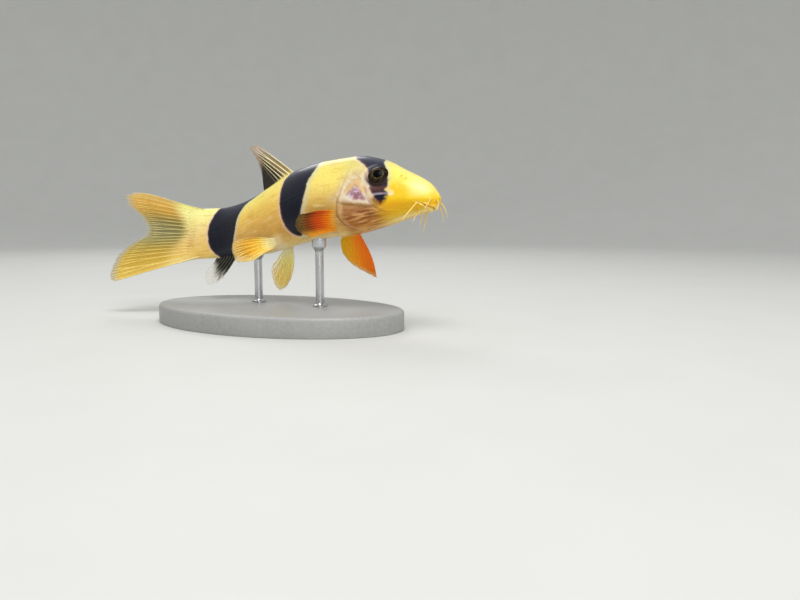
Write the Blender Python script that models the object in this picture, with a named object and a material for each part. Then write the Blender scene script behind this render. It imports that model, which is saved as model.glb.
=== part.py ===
"""A clown loach as a life-size still model, held on a plain display stand.

Metres, +Z up. The origin is the centre of the stand's underside, and the fish swims towards +X,
a little nose up and banked so that its right flank and belly turn towards -Y.
"""

import math

import bmesh
import bpy
from mathutils import Matrix, Vector

MM = 0.001

# Driving sizes
BODY_LENGTH = 0.078  # snout tip to the root of the tail fin
GAP = 0.0003  # left between pieces that touch
NOSE_UP = math.radians(8.8)
BANK = math.radians(20.3)
MID_BODY = Vector((0.007, 0.0035, 0.031))  # where the middle of the backbone is

# The body from snout to tail root, as shares of its length:
# place, back above the backbone, belly below it, half width, height of the widest part
BODY = (
    (0.010, -0.034, -0.054, 0.008, -0.042),
    (0.021, -0.012, -0.066, 0.020, -0.040),
    (0.037, 0.010, -0.073, 0.032, -0.040),
    (0.065, 0.034, -0.075, 0.044, -0.039),
    (0.120, 0.070, -0.083, 0.058, -0.030),
    (0.200, 0.118, -0.103, 0.072, -0.016),
    (0.300, 0.145, -0.117, 0.083, -0.010),
    (0.420, 0.143, -0.121, 0.086, -0.004),
    (0.520, 0.133, -0.127, 0.080, 0.000),
    (0.640, 0.112, -0.129, 0.066, 0.000),
    (0.760, 0.099, -0.114, 0.050, 0.001),
    (0.880, 0.104, -0.090, 0.034, 0.006),
    (1.000, 0.111, -0.087, 0.015, 0.010),
)
# How the backbone bends: place, degrees to the fish's right, degrees upwards
BEND = (
    (0.00, 5.5, 1.2),
    (0.20, -1.0, -2.6),
    (0.40, -3.5, -1.3),
    (0.60, 11.5, 2.3),
    (0.80, 7.5, 4.4),
    (1.00, -14.0, -1.2),
    (1.35, -12.0, 0.0),
)
BONE_START, BONE_STEP, BONE_COUNT = -0.05, 0.01, 151  # the backbone's points, as shares
# The rear edge of the gill cover: degrees round from the back, place along the body
GILL_LINE = (
    (0, 0.300),
    (45, 0.292),
    (75, 0.305),
    (105, 0.325),
    (128, 0.330),
    (148, 0.316),
    (180, 0.270),
)
HEAD_CORE = 0.300  # where the head's rear face meets the backbone
TAIL_STEM_START = 0.720
AROUND = 40  # sides of the body's rings
# Rings that close the pieces' ends, as shares of the way out from the middle of the end face
SNOUT_FACE_SHARES = (0.12, 0.60)
JOIN_FACE_SHARES = (0.72, 0.40, 0.05)
TAIL_FACE_SHARES = (0.50, 0.05)
# Where the body's rings lie, as shares of each piece
HEAD_STEPS = (0.035, 0.055, 0.08, 0.11, 0.15, 0.20, 0.27, 0.34, 0.41, 0.48, 0.55, 0.62, 0.69)
HEAD_REAR_STEPS = (0.76, 0.83, 0.89, 0.95, 1.0)
TORSO_RINGS = 16
TAIL_STEM_STEPS = (0.0, 0.12, 0.25, 0.38, 0.50, 0.62, 0.74, 0.86, 0.95, 1.0)
GILL_COVER_RISE = 0.00045
# How far before the gill line the cover starts to rise and is full, and the turns where it fades
GILL_COVER_START, GILL_COVER_FULL = 0.11, 0.02
GILL_COVER_UPPER, GILL_COVER_LOWER = (45, 70), (135, 160)
SNOUT_START, SNOUT_APEX = 0.010, 0.008
SECTION_POWER = 2.1  # 2 is an ellipse, more is squarer

# Eyes
EYE_PLACE, EYE_ANGLE = 0.196, 65.5
EYE_RADIUS = 0.00260
EYE_DEPTH_RADIUS = 0.0019
EYE_SUNK = 0.0010
EYE_RIM = 0.00032
EYE_SIDES, SOCKET_SIDES = 18, 24

# Mouth, nostrils and the slot of the cheek spine
MOUTH_CORNER_PLACE, MOUTH_CORNER_ANGLE = 0.056, 130.0
MOUTH_LINE_PLACE = 0.032  # where the line between the lips crosses the middle
LIP_SPREAD = 0.0085  # from that line to the middle of each lip, as a share of the body
UPPER_LIP_RADIUS, LOWER_LIP_RADIUS = 0.00050, 0.00045
LIP_RISE = 0.00006
MOUTH_LINE_RADIUS = 0.00022
NOSTRIL_PLACE, NOSTRIL_ANGLE = 0.115, 54.0
NOSTRIL_RADIUS, NOSTRIL_DEPTH = 0.00038, 0.0007
NOSTRIL_RIM = 0.00022
CHEEK_SLOT = ((0.146, 91.5), (0.206, 96.5))
CHEEK_SLOT_RADIUS = 0.00024

# Barbels: name, place, degrees round from the back, length, root radius, way it points as
# shares of straight out of the skin, backwards and down, and how far the tip bends
BARBELS = (
    ("rostral_inner", 0.014, 128.0, 0.0032, 0.00034, (0.88, 0.02, 0.30), 0.0019),
    ("rostral_outer", 0.029, 110.0, 0.0035, 0.00036, (0.84, 0.18, 0.26), 0.0021),
    ("maxillary", 0.070, 126.0, 0.0039, 0.00038, (0.74, 0.40, 0.26), 0.0019),
    ("mandibular", 0.074, 163.0, 0.0023, 0.00030, (0.80, 0.34, 0.10), 0.0007),
)
BARBEL_SIDES, BARBEL_RINGS = 10, 8
BARBEL_TAPER = 0.62

# Fins. A median fin's rays run from the ridge of the back or belly to a free edge, which is
# a row of (share of the way along the fin, place along the body, height above the backbone).
FIN_HALF_THICKNESS = 0.00026
FIN_EDGE_THINNING = 0.00008
RAY_RISE = 0.00013
FIN_ROOT_HALF_THICKNESS = {"dorsal": 0.0006, "anal": 0.0005, "tail": 0.0009, "paired": 0.0005}
DORSAL_RAYS, DORSAL_ROWS, DORSAL_ROOT = 10, 7, (0.536, 0.694)
DORSAL_EDGE = (
    (0.00, 0.740, 0.320),
    (0.12, 0.768, 0.325),
    (0.50, 0.742, 0.268),
    (1.00, 0.712, 0.194),
)
ANAL_RAYS, ANAL_ROWS, ANAL_ROOT = 8, 6, (0.826, 0.912)
ANAL_EDGE = (
    (0.00, 0.892, -0.174),
    (0.10, 0.910, -0.188),
    (0.28, 0.940, -0.189),
    (0.60, 0.955, -0.160),
    (0.86, 0.952, -0.132),
    (1.00, 0.938, -0.118),
)
TAIL_RAYS, TAIL_ROWS, TAIL_ROOT = 19, 10, (0.106, -0.082)
TAIL_BULGE, TAIL_BULGE_REACH = 0.010, 0.4  # the upper lobe's rays arch up, fading out at a share across
TAIL_BULGE_LATE = 2.2  # above 1 the arch lies nearer the fin's edge than its root
TAIL_EDGE = (
    (0.00, 1.300, 0.197),
    (0.06, 1.336, 0.188),
    (0.15, 1.320, 0.152),
    (0.30, 1.262, 0.100),
    (0.46, 1.208, 0.036),
    (0.60, 1.256, -0.003),
    (0.75, 1.316, -0.038),
    (0.90, 1.354, -0.096),
    (0.97, 1.360, -0.150),
    (1.00, 1.335, -0.160),
)
# A paired fin's root runs over the skin between two (place, degrees round from the back). Its
# edge is a row of (share of the way along the fin, and millimetres behind, to the right of and
# above the middle of the root). Last comes how far its rays bow forwards.
PAIRED_FINS = {
    "pectoral_fin_right": (
        ((0.341, 120), (0.352, 166)),
        (
            (0.00, 3.5, 9.0, -0.9),
            (0.10, 4.6, 9.8, -1.3),
            (0.35, 5.2, 10.2, -3.4),
            (0.65, 4.6, 9.4, -5.2),
            (1.00, 2.4, 7.2, -6.2),
        ),
        0.0002,
    ),
    "pectoral_fin_left": (
        ((0.338, -122), (0.350, -156)),
        (
            (0.00, -3.8, -8.8, -10.1),
            (0.22, -1.9, -8.5, -9.2),
            (0.50, 1.0, -7.2, -7.6),
            (0.80, 3.3, -5.4, -5.7),
            (1.00, 4.3, -4.0, -4.1),
        ),
        0.0012,
    ),
    "pelvic_fin_right": (
        ((0.584, 150), (0.600, 170)),
        (
            (0.00, 8.1, 7.0, 0.9),
            (0.10, 8.9, 7.5, 0.4),
            (0.30, 9.2, 7.7, -1.0),
            (0.55, 8.8, 7.4, -3.4),
            (0.78, 7.3, 6.6, -5.4),
            (0.92, 5.5, 5.2, -5.3),
            (1.00, 3.9, 3.9, -4.5),
        ),
        0.0004,
    ),
    "pelvic_fin_left": (
        ((0.582, -150), (0.600, -168)),
        (
            (0.00, 3.3, -3.9, -7.4),
            (0.25, 6.2, -4.5, -9.0),
            (0.50, 7.8, -4.0, -9.4),
            (0.75, 8.4, -2.4, -7.4),
            (0.92, 8.2, -1.0, -4.9),
            (1.00, 6.7, -0.4, -3.2),
        ),
        0.0004,
    ),
}
PECTORAL_RAYS, PECTORAL_ROWS = 12, 7
PELVIC_RAYS, PELVIC_ROWS = 8, 6
FIN_CURL = 0.0006

# Stand
BASE_HALF_LENGTH, BASE_HALF_WIDTH, BASE_THICKNESS = 0.036, 0.021, 0.005
BASE_EDGE = 0.0008
ROD_RADIUS, ROD_SIDES = 0.0011, 24
ROD_PAD_RADIUS, ROD_PAD_HEIGHT, ROD_PAD_TOP = 0.0019, 0.0028, 0.0020
ROD_FLARE_END = 0.35  # share of the pad's height where it has its full width
ROD_PLACES = {"stand_rod_front": 0.450, "stand_rod_rear": 0.735}

COLOURS = {  # red, green, blue, roughness
    "skin": (0.74, 0.50, 0.12, 0.38),
    "orange_fin": (0.80, 0.25, 0.03, 0.45),
    "yellow_fin": (0.72, 0.52, 0.16, 0.45),
    "dark_fin": (0.06, 0.05, 0.05, 0.45),
    "eye": (0.02, 0.02, 0.02, 0.08),
    "barbel": (0.80, 0.62, 0.38, 0.50),
    "stand_base": (0.55, 0.54, 0.52, 0.45),
    "stand_rod": (0.62, 0.63, 0.65, 0.25),
}


def smooth_curve(rows, column):
    """A smooth function through a table's rows, with no overshoot between them."""
    places = [row[0] for row in rows]
    values = [row[column] for row in rows]
    spans = [b - a for a, b in zip(places, places[1:])]
    slopes = [(b - a) / span for a, b, span in zip(values, values[1:], spans)]
    tangents = [slopes[0]]
    for before, after in zip(slopes, slopes[1:]):
        rising = before * after > 0
        tangents.append(2 * before * after / (before + after) if rising else 0.0)
    tangents.append(slopes[-1])

    def at(place):
        index = 0
        while index < len(spans) - 1 and place > places[index + 1]:
            index += 1
        span = spans[index]
        t = (place - places[index]) / span
        return (
            (2 * t**3 - 3 * t**2 + 1) * values[index]
            + (t**3 - 2 * t**2 + t) * span * tangents[index]
            + (3 * t**2 - 2 * t**3) * values[index + 1]
            + (t**3 - t**2) * span * tangents[index + 1]
        )

    return at


back_height, belly_height, half_width, widest_height = (smooth_curve(BODY, k) for k in (1, 2, 3, 4))
bend_right, bend_up = (smooth_curve(BEND, k) for k in (1, 2))
gill_place = smooth_curve(GILL_LINE, 1)


def blend(a, b, share):
    return a + (b - a) * share


def smoothstep(low, high, value):
    t = min(max((value - low) / (high - low), 0.0), 1.0)
    return t * t * (3 - 2 * t)


def fish_axes():
    """The fish's own forward, up and right, nose up and banked."""
    forward = Vector((math.cos(NOSE_UP), 0, math.sin(NOSE_UP)))
    level_up = Vector((-math.sin(NOSE_UP), 0, math.cos(NOSE_UP)))
    level_right = forward.cross(level_up)
    up = level_up * math.cos(BANK) - level_right * math.sin(BANK)
    return forward, up, forward.cross(up)


def backbone_axes(place):
    """Forward, up and right at a place along the bent backbone."""
    forward, up, right = fish_axes()
    place = min(max(place, BEND[0][0]), BEND[-1][0])
    aside, upward = math.radians(bend_right(place)), math.radians(bend_up(place))
    turned = forward * math.cos(aside) + right * math.sin(aside)
    ahead = turned * math.cos(upward) + up * math.sin(upward)
    above = up * math.cos(upward) - turned * math.sin(upward)
    return ahead, above, ahead.cross(above)


def backbone_points():
    """The backbone's points from before the snout to past the tail, MID_BODY at its middle."""
    points = [Vector((0, 0, 0))]
    for index in range(1, BONE_COUNT):
        ahead = backbone_axes(BONE_START + (index - 0.5) * BONE_STEP)[0]
        points.append(points[-1] - ahead * BONE_STEP * BODY_LENGTH)
    middle = points[round((0.5 - BONE_START) / BONE_STEP)]
    return [point - middle + MID_BODY for point in points]


BACKBONE = backbone_points()


def fish_point(place, height, side=0.0):
    """A point of the bent fish: place along it, height above and side right of the backbone."""
    steps = (place - BONE_START) / BONE_STEP
    index = min(max(int(steps), 0), BONE_COUNT - 2)
    centre = BACKBONE[index].lerp(BACKBONE[index + 1], steps - index)
    _, above, right = backbone_axes(place)
    return centre + (above * height + right * side) * BODY_LENGTH


def skin_point(place, degrees, out=0.0):
    """A point of the skin: degrees round from the back over the right flank, out metres proud."""
    angle = math.radians(degrees)
    cosine, sine = math.cos(angle), math.sin(angle)
    widest = widest_height(place)
    reach = back_height(place) if cosine >= 0 else belly_height(place)
    height = widest + (reach - widest) * abs(cosine) ** (2 / SECTION_POWER)
    side = half_width(place) * math.copysign(abs(sine) ** (2 / SECTION_POWER), sine)
    if not out:
        return fish_point(place, height, side)
    away = Vector((side, height - widest)).normalized() * out / BODY_LENGTH
    return fish_point(place, height + away.y, side + away.x)


def skin_out(place, degrees):
    """The direction straight out of the skin."""
    step = 0.004
    along = skin_point(place - step, degrees) - skin_point(place + step, degrees)
    around = skin_point(place, degrees + 2) - skin_point(place, degrees - 2)
    out = along.cross(around).normalized()
    inside = fish_point(place, widest_height(place))
    return out if out.dot(skin_point(place, degrees) - inside) > 0 else -out


def gill_cover_rise(place, degrees):
    """How far the gill cover stands proud just before its rear edge."""
    turn = abs((degrees + 180) % 360 - 180)
    on_flank = smoothstep(*GILL_COVER_UPPER, turn) * (1 - smoothstep(*GILL_COVER_LOWER, turn))
    edge = gill_place(turn)
    return GILL_COVER_RISE * on_flank * smoothstep(edge - GILL_COVER_START, edge - GILL_COVER_FULL, place)


def object_from(name, bm, colour, smooth=True):
    """A new object from a bmesh, with its own material."""
    mesh = bpy.data.meshes.new(name)
    bm.to_mesh(mesh)
    bm.free()
    made = bpy.data.objects.new(name, mesh)
    bpy.context.scene.collection.objects.link(made)
    if smooth:
        mesh.shade_smooth()
        mesh.set_sharp_from_angle(angle=math.radians(40))
    if colour:
        mesh.materials.append(material(name, *COLOURS[colour]))
    return made


def material(name, red, green, blue, roughness):
    made = bpy.data.materials.new(name)
    made.use_nodes = True
    shader = made.node_tree.nodes["Principled BSDF"]
    shader.inputs["Base Color"].default_value = (red, green, blue, 1)
    shader.inputs["Roughness"].default_value = roughness
    return made


def loft(rings):
    """A closed bmesh: the first ring of points is extruded from ring to ring, and both ends filled."""
    bm = bmesh.new()
    corners = [bm.verts.new(point) for point in rings[0]]
    edges = [bm.edges.new((corners[k - 1], corners[k])) for k in range(len(corners))]
    bmesh.ops.contextual_create(bm, geom=edges)
    front = edges
    for ring in rings[1:]:
        grown = bmesh.ops.extrude_edge_only(bm, edges=front)["geom"]
        ahead = [item for item in grown if isinstance(item, bmesh.types.BMVert)]
        sides = [item for item in grown if isinstance(item, bmesh.types.BMEdge)]
        front = [edge for edge in sides if all(corner in ahead for corner in edge.verts)]
        for corner, point in zip(ahead, ring):
            corner.co = point
    bmesh.ops.contextual_create(bm, geom=front)
    bmesh.ops.recalc_face_normals(bm, faces=bm.faces)
    bmesh.ops.triangulate(bm, faces=bm.faces)
    return bm


def turn_angles():
    return [360.0 * k / AROUND for k in range(AROUND)]


def inner_rings(edge, core, shares):
    """Rings that shrink from an edge ring towards a core point: an end face of the body."""
    return [[core.lerp(point, share) for point in edge] for share in shares]


def head_rings():
    """Rings from the snout to the gill line, then the head's rear face."""
    tip = fish_point(SNOUT_APEX, widest_height(SNOUT_START))
    first = [skin_point(SNOUT_START, angle) for angle in turn_angles()]
    rings = inner_rings(first, tip, SNOUT_FACE_SHARES)
    rings.append(first)
    for share in HEAD_STEPS + HEAD_REAR_STEPS:
        ring = []
        for angle in turn_angles():
            turn = min(angle, 360 - angle)
            place = share * gill_place(turn)
            ring.append(skin_point(place, angle, gill_cover_rise(place, angle)))
        rings.append(ring)
    return rings + inner_rings(rings[-1], fish_point(HEAD_CORE, 0.0), JOIN_FACE_SHARES)


def torso_rings(out=0.0):
    """Rings from just behind the gill line to the tail stem. out makes a fatter copy for cutting."""
    gap = GAP * 1.1 / BODY_LENGTH
    rings = []
    for step in range(TORSO_RINGS):
        share = step / (TORSO_RINGS - 1)
        ring = []
        for angle in turn_angles():
            turn = min(angle, 360 - angle)
            place = blend(gill_place(turn) + gap, TAIL_STEM_START, share)
            ring.append(skin_point(place, angle, out))
        rings.append(ring)
    front = inner_rings(rings[0], fish_point(HEAD_CORE + gap, 0.0), JOIN_FACE_SHARES)
    back = inner_rings(rings[-1], fish_point(TAIL_STEM_START, 0.0), JOIN_FACE_SHARES)
    return front[::-1] + rings + back


def tail_stem_rings(out=0.0):
    start = TAIL_STEM_START + GAP / BODY_LENGTH
    places = [blend(start, 1.0, share) for share in TAIL_STEM_STEPS]
    rings = [[skin_point(place, angle, out) for angle in turn_angles()] for place in places]
    front = inner_rings(rings[0], fish_point(start, 0.0), JOIN_FACE_SHARES)
    back = inner_rings(rings[-1], fish_point(1.0, 0.0), TAIL_FACE_SHARES)
    return front[::-1] + rings + back


def use_boolean(target, pieces, operation):
    """Joins closed pieces to a target, or cuts them from it, and removes them."""
    group = bpy.data.collections.new(target.name + "_" + operation.lower())
    bpy.context.scene.collection.children.link(group)
    for piece in pieces:
        bpy.context.scene.collection.objects.unlink(piece)
        group.objects.link(piece)
    change = target.modifiers.new(operation.title(), "BOOLEAN")
    change.operation = operation
    change.operand_type = "COLLECTION"
    change.collection = group
    change.solver = "EXACT"
    bpy.context.view_layer.update()
    graph = bpy.context.evaluated_depsgraph_get()
    changed = bpy.data.meshes.new_from_object(target.evaluated_get(graph))
    target.modifiers.clear()
    target.data = changed
    for piece in pieces:
        bpy.data.objects.remove(piece)
    bpy.data.collections.remove(group)


def keep_largest(target):
    """Keeps the largest closed surface and drops any scrap."""
    bm = bmesh.new()
    bm.from_mesh(target.data)
    left, surfaces = set(bm.faces), []
    while left:
        surface, front = set(), [left.pop()]
        while front:
            face = front.pop()
            surface.add(face)
            near = {other for edge in face.edges for other in edge.link_faces if other in left}
            left -= near
            front.extend(near)
        surfaces.append(surface)
    largest = max(surfaces, key=len)
    bmesh.ops.delete(bm, geom=[face for face in bm.faces if face not in largest], context="FACES")
    bm.to_mesh(target.data)
    bm.free()


def ellipsoid(name, centre, axes, radii, segments=20):
    """A closed ellipsoid with its radii along three given axes."""
    bm = bmesh.new()
    bmesh.ops.create_uvsphere(bm, u_segments=segments, v_segments=segments * 2 // 3, radius=1)
    turn = Matrix([[axis[row] * radius for axis, radius in zip(axes, radii)] for row in range(3)]).to_4x4()
    bmesh.ops.transform(bm, matrix=Matrix.Translation(centre) @ turn, verts=bm.verts)
    bmesh.ops.recalc_face_normals(bm, faces=bm.faces)
    return object_from(name, bm, None)


def tube(name, points, radius, cyclic=False):
    """A round tube along points, as a closed mesh."""
    curve = bpy.data.curves.new(name, "CURVE")
    curve.dimensions = "3D"
    curve.bevel_depth = radius
    curve.bevel_resolution = 2
    curve.use_fill_caps = True
    line = curve.splines.new("POLY")
    line.points.add(len(points) - 1)
    for corner, point in zip(line.points, points):
        corner.co = (*point, 1)
    line.use_cyclic_u = cyclic
    guide = bpy.data.objects.new(name, curve)
    bpy.context.scene.collection.objects.link(guide)
    bpy.context.view_layer.update()
    graph = bpy.context.evaluated_depsgraph_get()
    mesh = bpy.data.meshes.new_from_object(guide.evaluated_get(graph))
    bpy.data.objects.remove(guide)
    bm = bmesh.new()
    bm.from_mesh(mesh)
    bpy.data.meshes.remove(mesh)
    bmesh.ops.remove_doubles(bm, verts=bm.verts, dist=1e-6)
    bmesh.ops.recalc_face_normals(bm, faces=bm.faces)
    return object_from(name, bm, None)


def skin_frame(place, degrees):
    """A point of the skin, with two directions along the skin and the one straight out."""
    out = skin_out(place, degrees)
    ahead = backbone_axes(place)[0]
    ahead = (ahead - out * ahead.dot(out)).normalized()
    return skin_point(place, degrees), (ahead, out.cross(ahead), out)


def eye_frame(side):
    """The eye's centre and its axes: two along the skin and one straight out."""
    centre, axes = skin_frame(EYE_PLACE, EYE_ANGLE * side)
    return centre - axes[2] * EYE_SUNK, axes


def eye_rim(side, points=26):
    """The ring of skin round the eye, laid on the curved skin."""
    centre, (ahead, across, outward) = eye_frame(side)
    reach = EYE_RADIUS + GAP
    ring = []
    for k in range(points):
        turn = 2 * math.pi * k / points
        wanted = centre + (ahead * math.cos(turn) + across * math.sin(turn)) * reach
        ring.append(skin_point(*nearest_skin(wanted, EYE_PLACE, EYE_ANGLE * side)))
    return tube(f"eye_rim_{side}", ring, EYE_RIM, cyclic=True)


def nearest_skin(wanted, place, degrees):
    """Where the skin is nearest to a wanted point, found by shrinking steps from a start."""
    step_place, step_degrees = 0.03, 12.0
    best = (skin_point(place, degrees) - wanted).length
    while step_place > 0.0005:
        moved = False
        for move in ((1, 0), (-1, 0), (0, 1), (0, -1)):
            trial = place + move[0] * step_place, degrees + move[1] * step_degrees
            distance = (skin_point(*trial) - wanted).length
            if distance < best:
                best, (place, degrees), moved = distance, trial, True
        if not moved:
            step_place, step_degrees = step_place / 2, step_degrees / 2
    return place, degrees


def clear_of_skin(point, start, seated):
    """The point itself, moved to the gap off the skin if it is nearer, or if it is to sit there."""
    place, degrees = nearest_skin(point, *start)
    off = (point - skin_point(place, degrees)).dot(skin_out(place, degrees))
    return skin_point(place, degrees, GAP) if seated or off < GAP else point


def mouth_arc(shift, out, points=17):
    """Points from corner to corner of the mouth, shifted forwards or back at the middle."""
    arc = []
    for k in range(points):
        across = 2 * k / (points - 1) - 1
        bulge = 1 - across**2
        place = blend(MOUTH_CORNER_PLACE, MOUTH_LINE_PLACE + shift, bulge)
        degrees = 180 - across * (180 - MOUTH_CORNER_ANGLE)
        arc.append(skin_point(place, degrees, out))
    return arc


def lips():
    upper = tube("upper_lip", mouth_arc(-LIP_SPREAD, LIP_RISE), UPPER_LIP_RADIUS)
    lower = tube("lower_lip", mouth_arc(LIP_SPREAD, LIP_RISE), LOWER_LIP_RADIUS)
    return [upper, lower]


def mouth_line():
    return tube("mouth_line", mouth_arc(0.0, LIP_RISE), MOUTH_LINE_RADIUS)


def nostril_rim(side):
    spot, (ahead, across, out) = skin_frame(NOSTRIL_PLACE, NOSTRIL_ANGLE * side)
    reach = NOSTRIL_RADIUS + NOSTRIL_RIM * 0.8
    turns = [2 * math.pi * k / 12 for k in range(12)]
    ring = [spot + (ahead * math.cos(a) + across * math.sin(a)) * reach for a in turns]
    return tube(f"nostril_rim_{side}", ring, NOSTRIL_RIM, cyclic=True)


def nostril_pit(side):
    spot, axes = skin_frame(NOSTRIL_PLACE, NOSTRIL_ANGLE * side)
    radii = (NOSTRIL_RADIUS, NOSTRIL_RADIUS, NOSTRIL_DEPTH)
    return ellipsoid(f"nostril_pit_{side}", spot, axes, radii, 12)


def cheek_slot(side):
    """The slot under the eye that the folded cheek spine lies in."""
    front, back = (skin_point(place, degrees * side) for place, degrees in CHEEK_SLOT)
    return tube(f"cheek_slot_{side}", [front.lerp(back, k / 4) for k in range(5)], CHEEK_SLOT_RADIUS)


def make_head():
    head = object_from("head", loft(head_rings()), "skin")
    joined = lips()
    for side in (1, -1):
        joined += [eye_rim(side), nostril_rim(side)]
    use_boolean(head, joined, "UNION")
    cut = [mouth_line()]
    for side in (1, -1):
        centre, axes = eye_frame(side)
        socket = tuple(radius + GAP for radius in (EYE_RADIUS, EYE_RADIUS, EYE_DEPTH_RADIUS))
        cut.append(ellipsoid(f"socket_{side}", centre, axes, socket, SOCKET_SIDES))
        cut += [nostril_pit(side), cheek_slot(side)]
    use_boolean(head, cut, "DIFFERENCE")
    keep_largest(head)


def make_eyes():
    for side, name in ((1, "eye_right"), (-1, "eye_left")):
        centre, axes = eye_frame(side)
        eye = ellipsoid(name, centre, axes, (EYE_RADIUS, EYE_RADIUS, EYE_DEPTH_RADIUS), EYE_SIDES)
        eye.data.materials.append(material(name, *COLOURS["eye"]))


def barbel_rings(side, place, degrees, length, radius, way, trail):
    """Rings along one barbel, from just off the skin to its tip, which bends down and trails."""
    ahead, above, _ = backbone_axes(place)
    out = skin_out(place, degrees * side)
    direction = (out * way[0] - ahead * way[1] - above * way[2]).normalized()
    tilt = math.sqrt(1 - direction.dot(out) ** 2)
    root = skin_point(place, degrees * side, GAP + radius * tilt)
    aside = direction.cross(above).normalized()
    across = direction.cross(aside)
    bend = (-ahead - above).normalized() * trail
    rings = []
    for k in range(BARBEL_RINGS):
        share = k / (BARBEL_RINGS - 1)
        centre = root + direction * length * share + bend * share**2
        reach = radius * (1 - BARBEL_TAPER * share)
        turns = [2 * math.pi * j / BARBEL_SIDES for j in range(BARBEL_SIDES)]
        rings.append([centre + (aside * math.cos(a) + across * math.sin(a)) * reach for a in turns])
    return rings


def make_barbels():
    for name, *sizes in BARBELS:
        for side, side_name in ((1, "right"), (-1, "left")):
            object_from(f"barbel_{name}_{side_name}", loft(barbel_rings(side, *sizes)), "barbel")


def fin_object(name, surface, sideways, rays, rows, root_half_thickness, colour, root=None):
    """A fin: a grid laid on surface(across, along), its rays raised as ridges on both faces.

    root(across) is given where the fin springs from the flank, and seats it on the skin there.
    """
    columns = 2 * rays
    bm = bmesh.new()
    bmesh.ops.create_grid(bm, x_segments=columns, y_segments=rows, size=0.5)
    shares = {}
    for corner in bm.verts:
        shares[corner.index] = (corner.co.x + 0.5, corner.co.y + 0.5)
    bmesh.ops.triangulate(bm, faces=bm.faces, quad_method="FIXED")
    bm.verts.index_update()
    front = list(bm.verts)
    twins = bmesh.ops.duplicate(bm, geom=bm.verts[:] + bm.edges[:] + bm.faces[:])["vert_map"]
    for corner in front:
        across, along = shares[corner.index]
        ridge = RAY_RISE * (1 - 0.5 * along) * (round(across * columns) % 2)
        solid = blend(root_half_thickness, FIN_HALF_THICKNESS, smoothstep(0.0, 0.35, along)) + ridge
        solid -= FIN_EDGE_THINNING * smoothstep(0.85, 1.0, along)
        middle, out = surface(across, along), sideways(across, along)
        for face_corner, shift in ((corner, out * solid), (twins[corner], -out * solid)):
            point = middle + shift
            if root and along < 0.5:
                point = clear_of_skin(point, root(across), along < 0.01)
            face_corner.co = point
    bmesh.ops.reverse_faces(bm, faces=[face for face in bm.faces if face.verts[0] not in set(front)])
    open_edges = [edge for edge in bm.edges if edge.is_boundary]
    bmesh.ops.bridge_loops(bm, edges=open_edges)
    bmesh.ops.triangulate(bm, faces=bm.faces)
    bmesh.ops.recalc_face_normals(bm, faces=bm.faces)
    return object_from(name, bm, colour)


def median_fin(kind, root, edge, rays, rows, colour, bulge=0.0):
    """A fin of the fish's middle plane. root(across) and the edge give place and height."""
    edge_place, edge_height = smooth_curve(edge, 1), smooth_curve(edge, 2)

    def spot(across, along):
        place, height = root(across)
        arch = max(0.0, 1 - across / TAIL_BULGE_REACH) ** 2
        rise = bulge * arch * math.sin(math.pi * along**TAIL_BULGE_LATE)
        place = blend(place, edge_place(across), along)
        return place, blend(height, edge_height(across), along) + rise

    def surface(across, along):
        return fish_point(*spot(across, along))

    def sideways(across, along):
        return backbone_axes(spot(across, along)[0])[2]

    thickness = FIN_ROOT_HALF_THICKNESS[kind]
    return fin_object(kind + "_fin", surface, sideways, rays, rows, thickness, colour)


def ridge_root(ends, ridge, off):
    """A fin's root along the ridge of the back or belly, off by the gap."""

    def root(across):
        place = blend(*ends, across)
        return place, ridge(place) + off / BODY_LENGTH

    return root


def make_median_fins():
    dorsal_root = ridge_root(DORSAL_ROOT, back_height, GAP)
    anal_root = ridge_root(ANAL_ROOT, belly_height, -GAP)

    def tail_root(across):
        return 1.0 + GAP / BODY_LENGTH, blend(*TAIL_ROOT, across)

    median_fin("dorsal", dorsal_root, DORSAL_EDGE, DORSAL_RAYS, DORSAL_ROWS, "dark_fin")
    median_fin("anal", anal_root, ANAL_EDGE, ANAL_RAYS, ANAL_ROWS, "dark_fin")
    median_fin("tail", tail_root, TAIL_EDGE, TAIL_RAYS, TAIL_ROWS, "yellow_fin", TAIL_BULGE)


def paired_fin(name, rays, rows, colour):
    """A fin of one side, fanned from a short root on the skin."""
    (front, back), edge, bow = PAIRED_FINS[name]
    behind, aside, higher = (smooth_curve(edge, column) for column in (1, 2, 3))
    middle = skin_point(blend(front[0], back[0], 0.5), blend(front[1], back[1], 0.5))
    ahead, above, right = backbone_axes(blend(front[0], back[0], 0.5))

    def tip(across):
        away = right * aside(across) - ahead * behind(across) + above * higher(across)
        return middle + away * MM

    spread = (tip(0) - tip(1)).normalized()
    normal = (tip(0.5) - middle).cross(-spread).normalized()

    def root(across):
        return tuple(blend(a, b, across) for a, b in zip(front, back))

    def surface(across, along):
        curve = normal * FIN_CURL + spread * bow * (1 - across)
        return skin_point(*root(across), GAP).lerp(tip(across), along) + curve * math.sin(math.pi * along)

    def sideways(across, along):
        step = 0.02
        over = surface(min(across + step, 1), along) - surface(max(across - step, 0), along)
        out = surface(across, min(along + step, 1)) - surface(across, max(along - step, 0))
        return over.cross(out).normalized()

    thickness = FIN_ROOT_HALF_THICKNESS["paired"]
    return fin_object(name, surface, sideways, rays, rows, thickness, colour, root)


def make_paired_fins():
    for name in PAIRED_FINS:
        if name.startswith("pectoral"):
            paired_fin(name, PECTORAL_RAYS, PECTORAL_ROWS, "orange_fin")
        else:
            paired_fin(name, PELVIC_RAYS, PELVIC_ROWS, "yellow_fin")


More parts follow.
